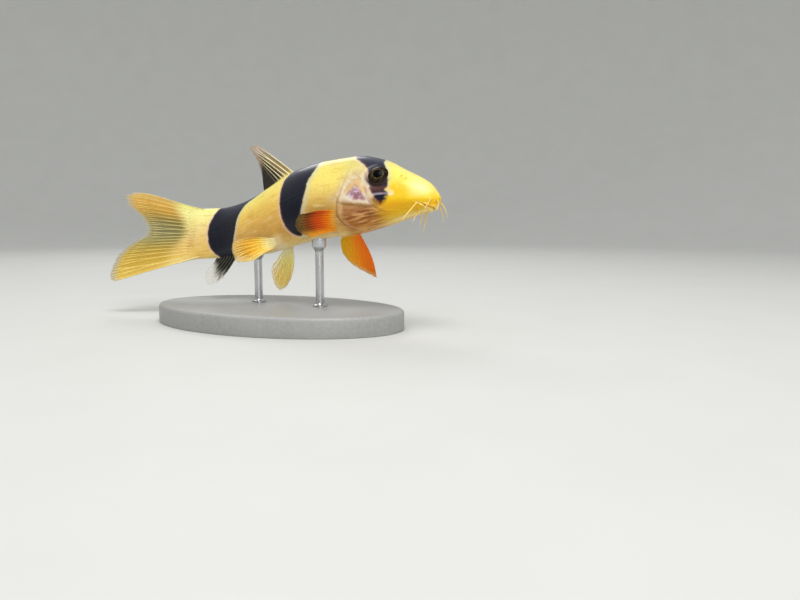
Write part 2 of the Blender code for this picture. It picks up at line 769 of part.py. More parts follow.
def make_stand():
    bm = bmesh.new()
    bmesh.ops.create_circle(bm, cap_ends=True, radius=1, segments=64)
    bmesh.ops.scale(bm, vec=(BASE_HALF_LENGTH, BASE_HALF_WIDTH, 1), verts=bm.verts)
    grown = bmesh.ops.extrude_face_region(bm, geom=bm.faces[:])["geom"]
    top = [item for item in grown if isinstance(item, bmesh.types.BMVert)]
    bmesh.ops.translate(bm, vec=(0, 0, BASE_THICKNESS), verts=top)
    rim = [edge for edge in bm.edges if all(corner in top for corner in edge.verts)]
    bmesh.ops.bevel(
        bm, geom=rim, offset=BASE_EDGE, segments=2, profile=0.5, affect="EDGES", material=-1
    )
    bmesh.ops.recalc_face_normals(bm, faces=bm.faces)
    object_from("stand_base", bm, "stand_base")
    for name, place in ROD_PLACES.items():
        make_rod(name, place)


def make_rod(name, place):
    """A rod from the base up to a flared pad that follows the belly."""
    contact = lowest_skin(place)
    foot = BASE_THICKNESS + GAP
    profile = (
        (foot, ROD_RADIUS),
        (contact.z - ROD_PAD_HEIGHT, ROD_RADIUS),
        (contact.z - ROD_PAD_HEIGHT * ROD_FLARE_END, ROD_PAD_RADIUS),
        (contact.z + ROD_PAD_TOP, ROD_PAD_RADIUS),
    )
    turns = [2 * math.pi * k / ROD_SIDES for k in range(ROD_SIDES)]
    rings = []
    for z, radius in profile:
        ring = [(radius * math.cos(turn), radius * math.sin(turn)) for turn in turns]
        rings.append([Vector((contact.x + x, contact.y + y, z)) for x, y in ring])
    rod = object_from(name, loft(rings), "stand_rod")
    belly = [object_from("belly_torso", loft(torso_rings(GAP)), None)]
    belly.append(object_from("belly_stem", loft(tail_stem_rings(GAP)), None))
    use_boolean(rod, belly, "DIFFERENCE")
    keep_lowest(rod)


def keep_lowest(rod):
    """Keeps the piece that stands on the base."""
    bm = bmesh.new()
    bm.from_mesh(rod.data)
    front = [min(bm.verts, key=lambda corner: corner.co.z)]
    kept = set(front)
    while front:
        near = {edge.other_vert(corner) for corner in front for edge in corner.link_edges} - kept
        kept |= near
        front = list(near)
    bmesh.ops.delete(bm, geom=[corner for corner in bm.verts if corner not in kept], context="VERTS")
    bm.to_mesh(rod.data)
    bm.free()


def lowest_skin(place):
    """The lowest point of the banked body's section at a place."""
    return min((skin_point(place, degrees) for degrees in range(90, 271, 2)), key=lambda point: point.z)


def main():
    for old in list(bpy.data.objects):
        bpy.data.objects.remove(old)
    make_head()
    object_from("torso", loft(torso_rings()), "skin")
    object_from("tail_stem", loft(tail_stem_rings()), "skin")
    make_eyes()
    make_barbels()
    make_median_fins()
    make_paired_fins()
    make_stand()


main()
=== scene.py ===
"""Looks of a clown loach held on a plain stand: one fine skin, rayed fins, wet eyes and barbels.

Metres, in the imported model's frame. A place is a share of the body's length behind the snout, and a
turn is degrees round the body from the back, over the right flank. Reliefs are in millimetres.
"""

import math

import bmesh
import bpy
import numpy as np
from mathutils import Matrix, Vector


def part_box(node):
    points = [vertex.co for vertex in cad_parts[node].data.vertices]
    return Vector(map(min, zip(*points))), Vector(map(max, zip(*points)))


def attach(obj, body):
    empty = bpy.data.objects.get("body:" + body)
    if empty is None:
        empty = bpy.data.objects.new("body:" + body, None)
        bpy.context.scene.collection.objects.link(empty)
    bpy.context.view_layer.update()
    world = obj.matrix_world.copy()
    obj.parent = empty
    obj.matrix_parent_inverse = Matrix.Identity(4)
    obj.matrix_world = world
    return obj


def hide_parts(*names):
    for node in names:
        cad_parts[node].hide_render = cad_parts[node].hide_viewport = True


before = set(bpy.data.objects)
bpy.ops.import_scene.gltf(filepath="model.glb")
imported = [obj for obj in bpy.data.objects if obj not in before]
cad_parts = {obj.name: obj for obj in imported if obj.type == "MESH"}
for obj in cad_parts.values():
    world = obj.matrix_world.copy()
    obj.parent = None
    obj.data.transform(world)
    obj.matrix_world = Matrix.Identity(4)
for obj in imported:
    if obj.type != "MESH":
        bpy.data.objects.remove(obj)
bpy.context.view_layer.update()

MM = 0.001

# The fish's place and bends, as its solids have them
BODY_LENGTH = 0.078
NOSE_UP = math.radians(8.8)
BANK = math.radians(20.3)
MID_BODY = np.array((0.007, 0.0035, 0.031))
SECTION_POWER = 2.1
# place, back above the backbone, belly below it, half width, height of the widest part
BODY = (
    (0.010, -0.034, -0.054, 0.008, -0.042),
    (0.021, -0.012, -0.066, 0.020, -0.040),
    (0.037, 0.010, -0.073, 0.032, -0.040),
    (0.065, 0.034, -0.075, 0.044, -0.039),
    (0.120, 0.070, -0.083, 0.058, -0.030),
    (0.200, 0.118, -0.103, 0.072, -0.016),
    (0.300, 0.145, -0.117, 0.083, -0.010),
    (0.420, 0.143, -0.121, 0.086, -0.004),
    (0.520, 0.133, -0.127, 0.080, 0.000),
    (0.640, 0.112, -0.129, 0.066, 0.000),
    (0.760, 0.099, -0.114, 0.050, 0.001),
    (0.880, 0.104, -0.090, 0.034, 0.006),
    (1.000, 0.111, -0.087, 0.015, 0.010),
    (1.018, 0.111, -0.087, 0.0100, 0.010),
    (1.036, 0.110, -0.086, 0.0058, 0.010),
    (1.052, 0.108, -0.084, 0.0026, 0.010),
    (1.080, 0.106, -0.082, 0.0016, 0.010),
)
# place, degrees to the fish's right, degrees upwards
BEND = (
    (0.00, 5.5, 1.2),
    (0.20, -1.0, -2.6),
    (0.40, -3.5, -1.3),
    (0.60, 11.5, 2.3),
    (0.80, 7.5, 4.4),
    (1.00, -14.0, -1.2),
    (1.35, -12.0, 0.0),
)
BONE_START, BONE_STEP, BONE_COUNT = -0.05, 0.01, 151

# The skin's mesh: sides of each ring, rings, and where along the body the rings lie
SKIN_SIDES, SKIN_RINGS = 360, 268
SNOUT_START, SNOUT_APEX, SNOUT_SHARE = 0.010, 0.008, 0.02
RING_PLACES = ((0.02, 0.010), (0.10, 0.029), (0.25, 0.090), (0.56, 0.250), (0.67, 0.345), (0.80, 0.600), (1.00, 1.052))
TAIL_CLOSE = 0.985  # share of the rings from which the skin closes over the tail fin's root
MM_PER_DEGREE = 0.118  # round the flank, near enough for drawing on it

# Eyes
EYE_PLACE, EYE_ANGLE = 0.196, 65.5
EYE_RADIUS, EYE_DEPTH_RADIUS, EYE_SUNK = 3.00, 1.90, 1.02
SOCKET_RADIUS = 2.58
RIM_RISE, RIM_WIDTH = 0.06, 0.34
PUPIL_RADIUS, IRIS_RING = 1.08, 1.36
PUPIL_AHEAD, PUPIL_LOW = 0.10, 0.24

# Head
GILL_LINE = ((0, 0.300), (45, 0.292), (75, 0.305), (105, 0.325), (128, 0.330), (148, 0.316), (180, 0.270))
GILL_RISE, GILL_GROOVE = 0.30, 0.14
GILL_PLATE = ((0.262, 80.0), (0.303, 100.0), (0.222, 110.0))
PLATE_SHARPNESS, PLATE_GROWN = 1.7, 0.25
MOUTH_CORNER, MOUTH_MIDDLE, MOUTH_CORNER_ANGLE = 0.056, 0.032, 130.0
LIP_OFFSET, LIP_WIDTH, LIP_RISE, MOUTH_DEPTH = 0.62, 0.42, 0.42, 0.50
NOSTRILS = ((0.106, 55.0, 0.26), (0.121, 52.0, 0.32))
CHEEK_SLOT = ((0.146, 91.5), (0.206, 96.5))
CHEEK_FOLD = ((78, 0.238), (100, 0.232), (118, 0.212), (135, 0.180), (150, 0.135), (165, 0.100))

# Black bands: turn, front edge, rear edge. Past a band's lower end its front lies behind its rear.
BANDS = (
    ((0, 0.200, 0.305), (15, 0.195, 0.300), (37, 0.188, 0.285), (47, 0.178, 0.260), (57, 0.169, 0.237),
     (73, 0.161, 0.225), (85, 0.159, 0.220), (95, 0.158, 0.210), (104, 0.161, 0.203), (112, 0.168, 0.194),
     (119, 0.182, 0.182), (180, 0.300, 0.050)),
    ((0, 0.410, 0.512), (28, 0.419, 0.518), (41, 0.422, 0.527), (53, 0.425, 0.534), (62, 0.432, 0.537),
     (70, 0.439, 0.538), (84, 0.444, 0.540), (97, 0.450, 0.539), (112, 0.459, 0.535), (124, 0.464, 0.531),
     (136, 0.467, 0.524), (147, 0.471, 0.513), (157, 0.477, 0.497), (162, 0.486, 0.486), (180, 0.520, 0.450)),
    ((0, 0.640, 0.905), (20, 0.648, 0.911), (33, 0.666, 0.916), (42, 0.702, 0.922), (48, 0.738, 0.927),
     (56, 0.755, 0.932), (69, 0.771, 0.941), (80, 0.783, 0.948), (93, 0.791, 0.949), (109, 0.802, 0.945),
     (124, 0.813, 0.939), (145, 0.826, 0.922), (165, 0.832, 0.906), (180, 0.834, 0.900)),
)
LATERAL_LINE = ((0.300, 74.0), (0.400, 82.0), (0.550, 94.0), (0.800, 96.0), (1.050, 92.0))

# Colours of the tail stem from its upper edge to its lower: share of the turn, red, green, blue
STEM_COLOURS = ((0.00, (234, 228, 130)), (0.22, (250, 244, 158)), (0.38, (248, 230, 146)), (0.52, (238, 206, 132)),
                (0.66, (232, 194, 108)), (0.82, (232, 196, 100)), (1.00, (246, 220, 140)))

# Fins: rays, rows, half thickness of the membrane, rise of a ray
COLUMNS_PER_RAY = 16
MEMBRANE, RAY_RISE = 0.050, 0.085
DORSAL_ROOT = (0.536, 0.694)
DORSAL_EDGE = ((0.00, 0.738, 0.319), (0.07, 0.764, 0.330), (0.16, 0.782, 0.327), (0.34, 0.761, 0.292), (0.58, 0.737, 0.255), (1.00, 0.712, 0.194))
ANAL_ROOT = (0.826, 0.912)
ANAL_EDGE = ((0.00, 0.892, -0.174), (0.10, 0.910, -0.188), (0.28, 0.940, -0.189), (0.60, 0.955, -0.160),
             (0.86, 0.952, -0.132), (1.00, 0.938, -0.118))
TAIL_RAYS, TAIL_ROOT = 19, (0.106, -0.082)
TAIL_BULGE, TAIL_BULGE_REACH, TAIL_BULGE_LATE = 0.010, 0.4, 2.2
TAIL_EDGE = ((0.00, 1.300, 0.197), (0.06, 1.336, 0.188), (0.15, 1.320, 0.152), (0.30, 1.262, 0.100),
             (0.38, 1.240, 0.073), (0.45, 1.224, 0.045), (0.52, 1.225, 0.017),
             (0.60, 1.262, -0.003), (0.75, 1.316, -0.038), (0.90, 1.354, -0.096),
             (0.97, 1.360, -0.150), (1.00, 1.335, -0.160))
# Paired fins: root ends, edge (share, mm behind, right of and above the root's middle), bow of the
# leading and of the trailing edge in mm
PAIRED_FINS = {
    "pectoral_fin_right": (
        ((0.341, 120), (0.352, 166)),
        ((0.00, 3.5, 9.0, -0.9), (0.10, 4.6, 9.8, -1.3), (0.35, 5.2, 10.2, -3.4), (0.65, 4.6, 9.4, -5.2),
         (1.00, 2.4, 7.2, -6.2)),
        (0.2, 0.0),
    ),
    "pectoral_fin_left": (
        ((0.338, -122), (0.350, -156)),
        ((0.00, -3.8, -8.8, -10.1), (0.22, -1.9, -8.5, -9.2), (0.50, 1.0, -7.2, -7.6), (0.80, 3.3, -5.4, -5.7),
         (1.00, 4.3, -4.0, -4.1)),
        (1.2, 1.5),
    ),
    "pelvic_fin_right": (
        ((0.584, 150), (0.600, 170)),
        ((0.00, 8.1, 7.0, 0.9), (0.10, 8.9, 7.5, 0.4), (0.30, 9.2, 7.7, -1.0), (0.55, 8.8, 7.4, -3.4),
         (0.78, 7.3, 6.6, -5.4), (0.92, 5.5, 5.2, -5.3), (1.00, 3.9, 3.9, -4.5)),
        (0.4, 0.0),
    ),
    "pelvic_fin_left": (
        ((0.582, -150), (0.600, -168)),
        ((0.00, 3.3, -3.9, -7.4), (0.25, 6.2, -4.5, -9.0), (0.50, 7.8, -4.0, -9.4), (0.75, 8.4, -2.4, -7.4),
         (0.92, 8.2, -1.0, -4.9), (1.00, 6.7, -0.4, -3.2)),
        (0.4, 0.0),
    ),
}
FIN_CURL = 0.6

# Barbels: name, place, turn, length, root radius, way as shares of out, backwards and down, tip's bend
BARBELS = (
    ("rostral_inner", 0.014, 128.0, 3.2, 0.34, (0.88, 0.02, 0.30), 1.9),
    ("rostral_outer", 0.029, 110.0, 3.5, 0.36, (0.84, 0.18, 0.26), 2.1),
    ("maxillary", 0.070, 126.0, 3.9, 0.38, (0.74, 0.40, 0.26), 1.9),
    ("mandibular", 0.074, 163.0, 2.3, 0.30, (0.80, 0.34, 0.10), 0.7),
)

# Camera
CAMERA_PLACE = (0.101462, -0.146284, 0.027773)
CAMERA_AZIMUTH, CAMERA_ELEVATION = math.radians(24.1), math.radians(7.0)
LENS, SENSOR = 29.7, 36.0


def smooth_curve(rows, column=1):
    """A smooth function through a table's rows, with no overshoot between them."""
    places = np.array([row[0] for row in rows], float)
    values = np.array([row[column] for row in rows], float)
    spans = np.diff(places)
    slopes = np.diff(values) / spans
    product = slopes[1:] * slopes[:-1]
    total = np.where(product > 0, slopes[1:] + slopes[:-1], 1.0)
    inner = np.where(product > 0, 2 * product / total, 0.0)
    tangents = np.concatenate((slopes[:1], inner, slopes[-1:]))

    def at(place):
        index = np.clip(np.searchsorted(places, place) - 1, 0, len(spans) - 1)
        span = spans[index]
        t = (place - places[index]) / span
        return (
            (2 * t**3 - 3 * t**2 + 1) * values[index]
            + (t**3 - 2 * t**2 + t) * span * tangents[index]
            + (3 * t**2 - 2 * t**3) * values[index + 1]
            + (t**3 - t**2) * span * tangents[index + 1]
        )

    return at


def smoothstep(low, high, value):
    t = np.clip((value - low) / (high - low), 0.0, 1.0)
    return t * t * (3 - 2 * t)


def bell(value, width):
    return np.exp(-((value / width) ** 2))


def blend(a, b, share):
    return a + (b - a) * share


def unit(vectors):
    return vectors / np.linalg.norm(vectors, axis=-1, keepdims=True)


back_height, belly_height, half_width, widest_height = (smooth_curve(BODY, k) for k in (1, 2, 3, 4))
bend_right, bend_up = (smooth_curve(BEND, k) for k in (1, 2))
gill_place = smooth_curve(GILL_LINE)


def backbone_axes(place):
    """Forward, up and right at places along the bent backbone, as rows."""
    forward = np.array((math.cos(NOSE_UP), 0, math.sin(NOSE_UP)))
    level_up = np.array((-math.sin(NOSE_UP), 0, math.cos(NOSE_UP)))
    up = level_up * math.cos(BANK) - np.cross(forward, level_up) * math.sin(BANK)
    right = np.cross(forward, up)
    place = np.clip(place, BEND[0][0], BEND[-1][0])
    aside = np.radians(bend_right(place))[..., None]
    upward = np.radians(bend_up(place))[..., None]
    turned = forward * np.cos(aside) + right * np.sin(aside)
    ahead = turned * np.cos(upward) + up * np.sin(upward)
    above = up * np.cos(upward) - turned * np.sin(upward)
    return ahead, above, np.cross(ahead, above)


def backbone_points():
    places = BONE_START + (np.arange(1, BONE_COUNT) - 0.5) * BONE_STEP
    steps = -backbone_axes(places)[0] * BONE_STEP * BODY_LENGTH
    points = np.concatenate((np.zeros((1, 3)), np.cumsum(steps, axis=0)))
    return points - points[round((0.5 - BONE_START) / BONE_STEP)] + MID_BODY


BACKBONE = backbone_points()


def fish_point(place, height, side=0.0):
    """Points of the bent fish: place along it, height above and side right of the backbone."""
    place, height, side = np.broadcast_arrays(np.asarray(place, float), height, side)
    steps = (place - BONE_START) / BONE_STEP
    index = np.clip(steps.astype(int), 0, BONE_COUNT - 2)
    share = (steps - index)[..., None]
    centre = BACKBONE[index] * (1 - share) + BACKBONE[index + 1] * share
    _, above, right = backbone_axes(place)
    return centre + (above * height[..., None] + right * side[..., None]) * BODY_LENGTH


def skin_point(place, turn, out=0.0):
    """Points of the bare skin, out metres proud of it."""
    place, turn = np.broadcast_arrays(np.asarray(place, float), np.asarray(turn, float))
    cosine, sine = np.cos(np.radians(turn)), np.sin(np.radians(turn))
    widest = widest_height(place)
    reach = np.where(cosine >= 0, back_height(place), belly_height(place))
    height = widest + (reach - widest) * np.abs(cosine) ** (2 / SECTION_POWER)
    side = half_width(place) * np.sign(sine) * np.abs(sine) ** (2 / SECTION_POWER)
    points = fish_point(place, height, side)
    if np.any(out):
        points = points + skin_out(place, turn) * np.asarray(out)[..., None]
    return points


def skin_out(place, turn):
    """Directions straight out of the skin."""
    place, turn = np.broadcast_arrays(np.asarray(place, float), np.asarray(turn, float))
    along = skin_point(place - 0.003, turn) - skin_point(place + 0.003, turn)
    around = skin_point(place, turn + 1.5) - skin_point(place, turn - 1.5)
    out = unit(np.cross(along, around))
    inside = fish_point(place, widest_height(place))
    facing = np.sum(out * (skin_point(place, turn) - inside), axis=-1, keepdims=True)
    return np.where(facing > 0, out, -out)


def skin_frame(place, turn):
    """A point of the skin and its axes: forwards along the skin, round it, and straight out."""
    out = skin_out(place, turn)
    ahead = backbone_axes(np.array(place))[0]
    ahead = unit(ahead - out * np.dot(ahead, out))
    return skin_point(place, turn), np.stack((ahead, np.cross(out, ahead), out))


def flat_place(place, turn):
    """Millimetres along and round the flank, for drawing on it."""
    return np.stack((np.asarray(place) * BODY_LENGTH / MM, np.asarray(turn) * MM_PER_DEGREE), -1)


def segment_distance(spots, start, end):
    """Distance of flat spots from a segment, and how far along it they are as a share."""
    way = end - start
    share = np.clip((spots - start) @ way / (way @ way), 0.0, 1.0)
    return np.linalg.norm(spots - start - share[:, None] * way, axis=-1), share


def plate_distance(spots):
    """Distance from the gill cover's rounded plate, negative inside."""
    corners = flat_place(*np.array(GILL_PLATE).T)
    total = 0.0
    for a, b in zip(corners, np.roll(corners, -1, axis=0)):
        normal = unit(np.array((b[1] - a[1], a[0] - b[0])))
        normal = normal * np.sign((a - corners.mean(0)) @ normal)
        total = total + np.exp(PLATE_SHARPNESS * ((spots - a) @ normal))
    return np.log(total) / PLATE_SHARPNESS - PLATE_GROWN


def band_depth(place, turn):
    """How far inside the nearest black band a spot is, and 1 where that band's front edge is nearest."""
    wobble = 0.0006 * (np.sin(turn * 0.31 + 1.0) + 0.6 * np.sin(turn * 0.83 + place * 40))
    depths = []
    for band in BANDS:
        for column, sign in ((1, 1), (2, -1)):
            edge = smooth_curve(band, column)
            slope = (edge(turn + 1) - edge(turn - 1)) / 2 * BODY_LENGTH / MM / MM_PER_DEGREE
            off = (place - edge(turn) + wobble) * sign * BODY_LENGTH / MM
            depths.append(off / np.sqrt(1 + slope**2))
    depths = np.array(depths).reshape(len(BANDS), 2, -1)
    nearest = depths.min(axis=1).argmax(axis=0)
    fronts, rears = (depths[nearest, k, np.arange(len(nearest))] for k in (0, 1))
    return np.minimum(fronts, rears), smoothstep(0.6, -0.6, fronts - rears)


def mouth_spot(place, turn):
    """Millimetres behind the line between the lips, and how far out to its corner, from 0 to 1."""
    across = (180 - turn) / (180 - MOUTH_CORNER_ANGLE)
    line = blend(MOUTH_CORNER, MOUTH_MIDDLE, 1 - np.clip(across, 0, 1.3) ** 2)
    return (place - line) * BODY_LENGTH / MM, across


def eye_spot(points, side):
    """Points in the axes of an eye, in millimetres."""
    centre, axes = skin_frame(EYE_PLACE, EYE_ANGLE * side)
    return (points - centre) @ axes.T / MM


def head_relief(place, turn, spots):
    """How far the head's own forms stand out of the plain skin, in millimetres."""
    behind = (place - gill_place(turn)) * BODY_LENGTH / MM
    flank = smoothstep(45, 80, turn) * (1 - smoothstep(142, 168, turn))
    relief = GILL_RISE * flank * smoothstep(-8.0, -1.2, behind) * (1 - smoothstep(-0.15, 0.25, behind))
    relief -= GILL_GROOVE * (0.10 + 0.90 * flank) * bell(behind - 0.28, 0.22)
    plate = plate_distance(spots)
    relief += 0.09 * bell(plate - 0.1, 0.40) - 0.05 * smoothstep(0.2, -0.8, plate)
    fold = (place - smooth_curve(CHEEK_FOLD)(turn)) * BODY_LENGTH / MM
    fold_reach = smoothstep(78, 92, turn) * (1 - smoothstep(140, 165, turn))
    relief += fold_reach * (0.10 * bell(fold + 0.9, 0.8) - 0.14 * bell(fold, 0.35))
    cheek = flat_place(place, turn) - flat_place(0.175, 118.0)
    relief += 0.22 * bell(np.hypot(cheek[:, 0] / 1.3, cheek[:, 1]), 2.6)
    behind_lips, across = mouth_spot(place, turn)
    mouth = 1 - smoothstep(0.86, 1.12, across)
    relief += mouth * LIP_RISE * (bell(behind_lips + LIP_OFFSET, LIP_WIDTH) + bell(behind_lips - LIP_OFFSET, LIP_WIDTH))
    relief -= mouth * MOUTH_DEPTH * bell(behind_lips, 0.16)
    relief -= mouth * 0.12 * bell(behind_lips - 1.7, 0.35)
    slot, _ = segment_distance(spots, *flat_place(*np.array(CHEEK_SLOT).T))
    relief += 0.03 * bell(slot - 0.50, 0.24) - 0.10 * bell(slot, 0.26)
    for k, turn_of_fold in enumerate((150.0, 160.0, 170.0)):
        reach = smoothstep(0.12, 0.18, place) * (1 - smoothstep(0.26, 0.31, place))
        around = (turn - turn_of_fold + (place - 0.22) * 40) * MM_PER_DEGREE
        relief -= 0.07 * reach * bell(around, 0.16)
    return relief


def nostril_relief(points, side):
    """A pair of nostrils on each side, each with a low rim and a pit."""
    relief = np.zeros(len(points))
    for place, turn, radius in NOSTRILS:
        centre, axes = skin_frame(place, turn * side)
        spot = (points - centre) @ axes.T / MM
        reach = np.hypot(spot[:, 0], spot[:, 1])
        near = np.abs(spot[:, 2]) < 2.0
        relief += near * (0.15 * bell(reach - radius - 0.12, 0.14) - 0.55 * (1 - smoothstep(radius * 0.4, radius, reach)))
    return relief


def body_relief(place, turn):
    """Soft forms behind the head: muscle blocks, the lateral line and the fins' fleshy bases."""
    along = place * BODY_LENGTH / MM
    flank = smoothstep(0.34, 0.42, place) * (1 - smoothstep(0.98, 1.03, place))
    chevron = np.abs(turn - 92) * 0.035
    relief = 0.018 * flank * np.sin((along - chevron) * 2 * math.pi / 1.9) * bell(turn - 92, 62)
    lateral = (turn - smooth_curve(LATERAL_LINE)(place)) * MM_PER_DEGREE
    relief += smoothstep(0.31, 0.34, place) * (0.05 * bell(lateral, 0.16) - 0.035 * bell(lateral, 0.6))
    for ends, middle in ((DORSAL_ROOT, 0.0), (ANAL_ROOT, 180.0)):
        reach = smoothstep(ends[0] - 0.02, ends[0] + 0.02, place) * (1 - smoothstep(ends[1] - 0.02, ends[1] + 0.02, place))
        relief += 0.28 * reach * bell((turn - middle) * MM_PER_DEGREE, 0.75)
    for name, (ends, _, _) in PAIRED_FINS.items():
        if name.endswith("right"):
            spots = flat_place(place, turn)
            away, _ = segment_distance(spots, *flat_place(*np.array(ends).T))
            relief += 0.30 * bell(away, 1.1)
    return relief


def grid_mesh(name, columns, rows):
    """A grid as a mesh, with its corners' shares across and along and a bake map."""
    bm = bmesh.new()
    bm.loops.layers.uv.new("OFBake")
    bmesh.ops.create_grid(bm, x_segments=columns, y_segments=rows, size=0.5, calc_uvs=True)
    mesh = bpy.data.meshes.new(name)
    bm.to_mesh(mesh)
    bm.free()
    corners = np.zeros(len(mesh.vertices) * 3, np.float32)
    mesh.vertices.foreach_get("co", corners)
    across, along, _ = (corners.reshape(-1, 3).astype(float) + 0.5).T
    return mesh, across, along


def set_points(mesh, points):
    mesh.vertices.foreach_set("co", np.asarray(points, np.float32).ravel())


def set_attribute(mesh, name, values):
    made = mesh.attributes.new(name, "FLOAT", "POINT")
    made.data.foreach_set("value", np.asarray(values, np.float32))


def finish_mesh(mesh, merge=1e-6):
    """Closes seams and poles, splits the faces and points them outwards."""
    bm = bmesh.new()
    bm.from_mesh(mesh)
    bmesh.ops.remove_doubles(bm, verts=bm.verts, dist=merge)
    bmesh.ops.dissolve_degenerate(bm, edges=bm.edges, dist=1e-7)
    bmesh.ops.triangulate(bm, faces=bm.faces)
    bmesh.ops.recalc_face_normals(bm, faces=bm.faces)
    bm.to_mesh(mesh)
    bm.free()
    mesh.shade_smooth()


def piece(name, mesh, look, slot, *nodes):
    """A finished piece that stands for CAD nodes and rides with the model."""
    made = bpy.data.objects.new(name, mesh)
    bpy.context.scene.collection.objects.link(made)
    mesh.materials.append(look)
    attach(made, "root")
    if nodes:
        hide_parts(*nodes)
    return made


def make_skin():
    """The whole of the flesh as one skin, from the snout to the tail fin's root."""
    mesh, around, along = grid_mesh("skin", SKIN_SIDES, SKIN_RINGS)
    degrees = around * 360
    place = smooth_curve(RING_PLACES)(np.clip(along, SNOUT_SHARE, 1))
    turn = np.minimum(degrees, 360 - degrees)
    closing = along > 0.9999  # its first and last sides run together, so that the ridge's ends fold once
    turn = np.where(closing & (turn < 1.5), 0.0, np.where(closing & (turn > 178.5), 180.0, turn))
    down = (1 - np.cos(np.radians(turn))) / 2
    fingers = 0.006 * np.cos(down * 2 * math.pi * (TAIL_RAYS - 1)) + 0.030 * (2 * down - 1) ** 2 - 0.012
    place = place + fingers * smoothstep(0.96, RING_PLACES[-1][1], place)
    points = skin_point(place, degrees)
    outward = skin_out(place, degrees)
    spots = flat_place(place, turn)
    on_head = place < 0.37
    relief = body_relief(place, turn)
    relief += np.where(on_head, head_relief(place, turn, spots), 0.0)
    eye_reach = np.full(len(points), 9.0)
    for side in (1, -1):
        relief += np.where(on_head, nostril_relief(points, side), 0.0)
        spot = eye_spot(points, side)
        reach = np.hypot(spot[:, 0], spot[:, 1])
        near = on_head & (np.abs(spot[:, 2]) < 3.0)
        eye_reach = np.where(near, np.minimum(reach, eye_reach), eye_reach)
    relief += RIM_RISE * bell(eye_reach - SOCKET_RADIUS - 0.25, RIM_WIDTH)
    relief -= 0.10 * bell(eye_reach - SOCKET_RADIUS - 0.95, 0.35)
    points = points + outward * (relief * MM)[:, None]
    for side in (1, -1):
        points = sink_socket(points, side, on_head)
    tip = fish_point(SNOUT_APEX, widest_height(SNOUT_START))
    share = np.clip(along / SNOUT_SHARE, 0, 1)[:, None]
    points = np.where(share < 1, tip + (points - tip) * np.sqrt(share), points)
    share = np.clip((1 - along) / (1 - TAIL_CLOSE), 0, 1)
    cosine = np.cos(np.radians(turn))
    reach = np.where(cosine >= 0, back_height(place), belly_height(place)) - widest_height(place)
    ridge = fish_point(place, widest_height(place) + reach * np.abs(cosine) ** (2 / SECTION_POWER))
    points = np.where(share[:, None] < 1, ridge + (points - ridge) * np.sqrt(share)[:, None], points)
    set_points(mesh, points)
    set_attribute(mesh, "place", place)
    set_attribute(mesh, "turn", turn)
    band, front_edge = band_depth(place, turn)
    set_attribute(mesh, "band", band)
    set_attribute(mesh, "front_edge", front_edge)
    set_attribute(mesh, "eye", eye_reach)
    set_attribute(mesh, "gill", (place - gill_place(turn)) * BODY_LENGTH / MM)
    set_attribute(mesh, "plate", plate_distance(spots))
    set_attribute(mesh, "slot", segment_distance(spots, *flat_place(*np.array(CHEEK_SLOT).T))[0])
    behind_lips, across = mouth_spot(place, turn)
    set_attribute(mesh, "lips", np.where(across < 1.25, np.abs(behind_lips), 9.0))
    lateral = (turn - smooth_curve(LATERAL_LINE)(place)) * MM_PER_DEGREE
    set_attribute(mesh, "lateral", np.where(place > 0.3, lateral, 9.0))
    finish_mesh(mesh)
    return piece("fish_skin", mesh, skin_look(), "skin", "head", "torso", "tail_stem")


def sink_socket(points, side, on_head):
    """Draws the skin in behind the eyeball, from a clean round lid."""
    centre, axes = skin_frame(EYE_PLACE, EYE_ANGLE * side)
    spot = (points - centre) @ axes.T / MM
    reach = np.hypot(spot[:, 0], spot[:, 1])
    near = on_head & (np.abs(spot[:, 2]) < 3.0) & (reach < 3.6)
    snapped = np.where(np.abs(reach - SOCKET_RADIUS) < 0.085, SOCKET_RADIUS, reach)
    spot[:, :2] *= (snapped / np.maximum(reach, 1e-6))[:, None]
    ball = EYE_DEPTH_RADIUS * np.sqrt(np.clip(1 - (snapped / EYE_RADIUS) ** 2, 0, 1))
    lid = bell(snapped - SOCKET_RADIUS, 0.55) * smoothstep(0.0, 0.05, snapped - SOCKET_RADIUS + 0.05)
    spot[:, 2] = blend(spot[:, 2], ball - EYE_SUNK + 0.05, lid * 0.9)
    spot[:, 2] = np.where(snapped < SOCKET_RADIUS - 0.02, -ball - EYE_SUNK - 0.12, spot[:, 2])
    moved = centre + spot @ axes * MM
    return np.where(near[:, None], moved, points)


def rgb(red, green, blue):
    """A display colour from 0 to 255 as the linear colour a shader takes."""
    values = np.array((red, green, blue)) / 255
    linear = np.where(values <= 0.04045, values / 12.92, ((values + 0.055) / 1.055) ** 2.4)
    return (*(float(x) for x in linear), 1.0)


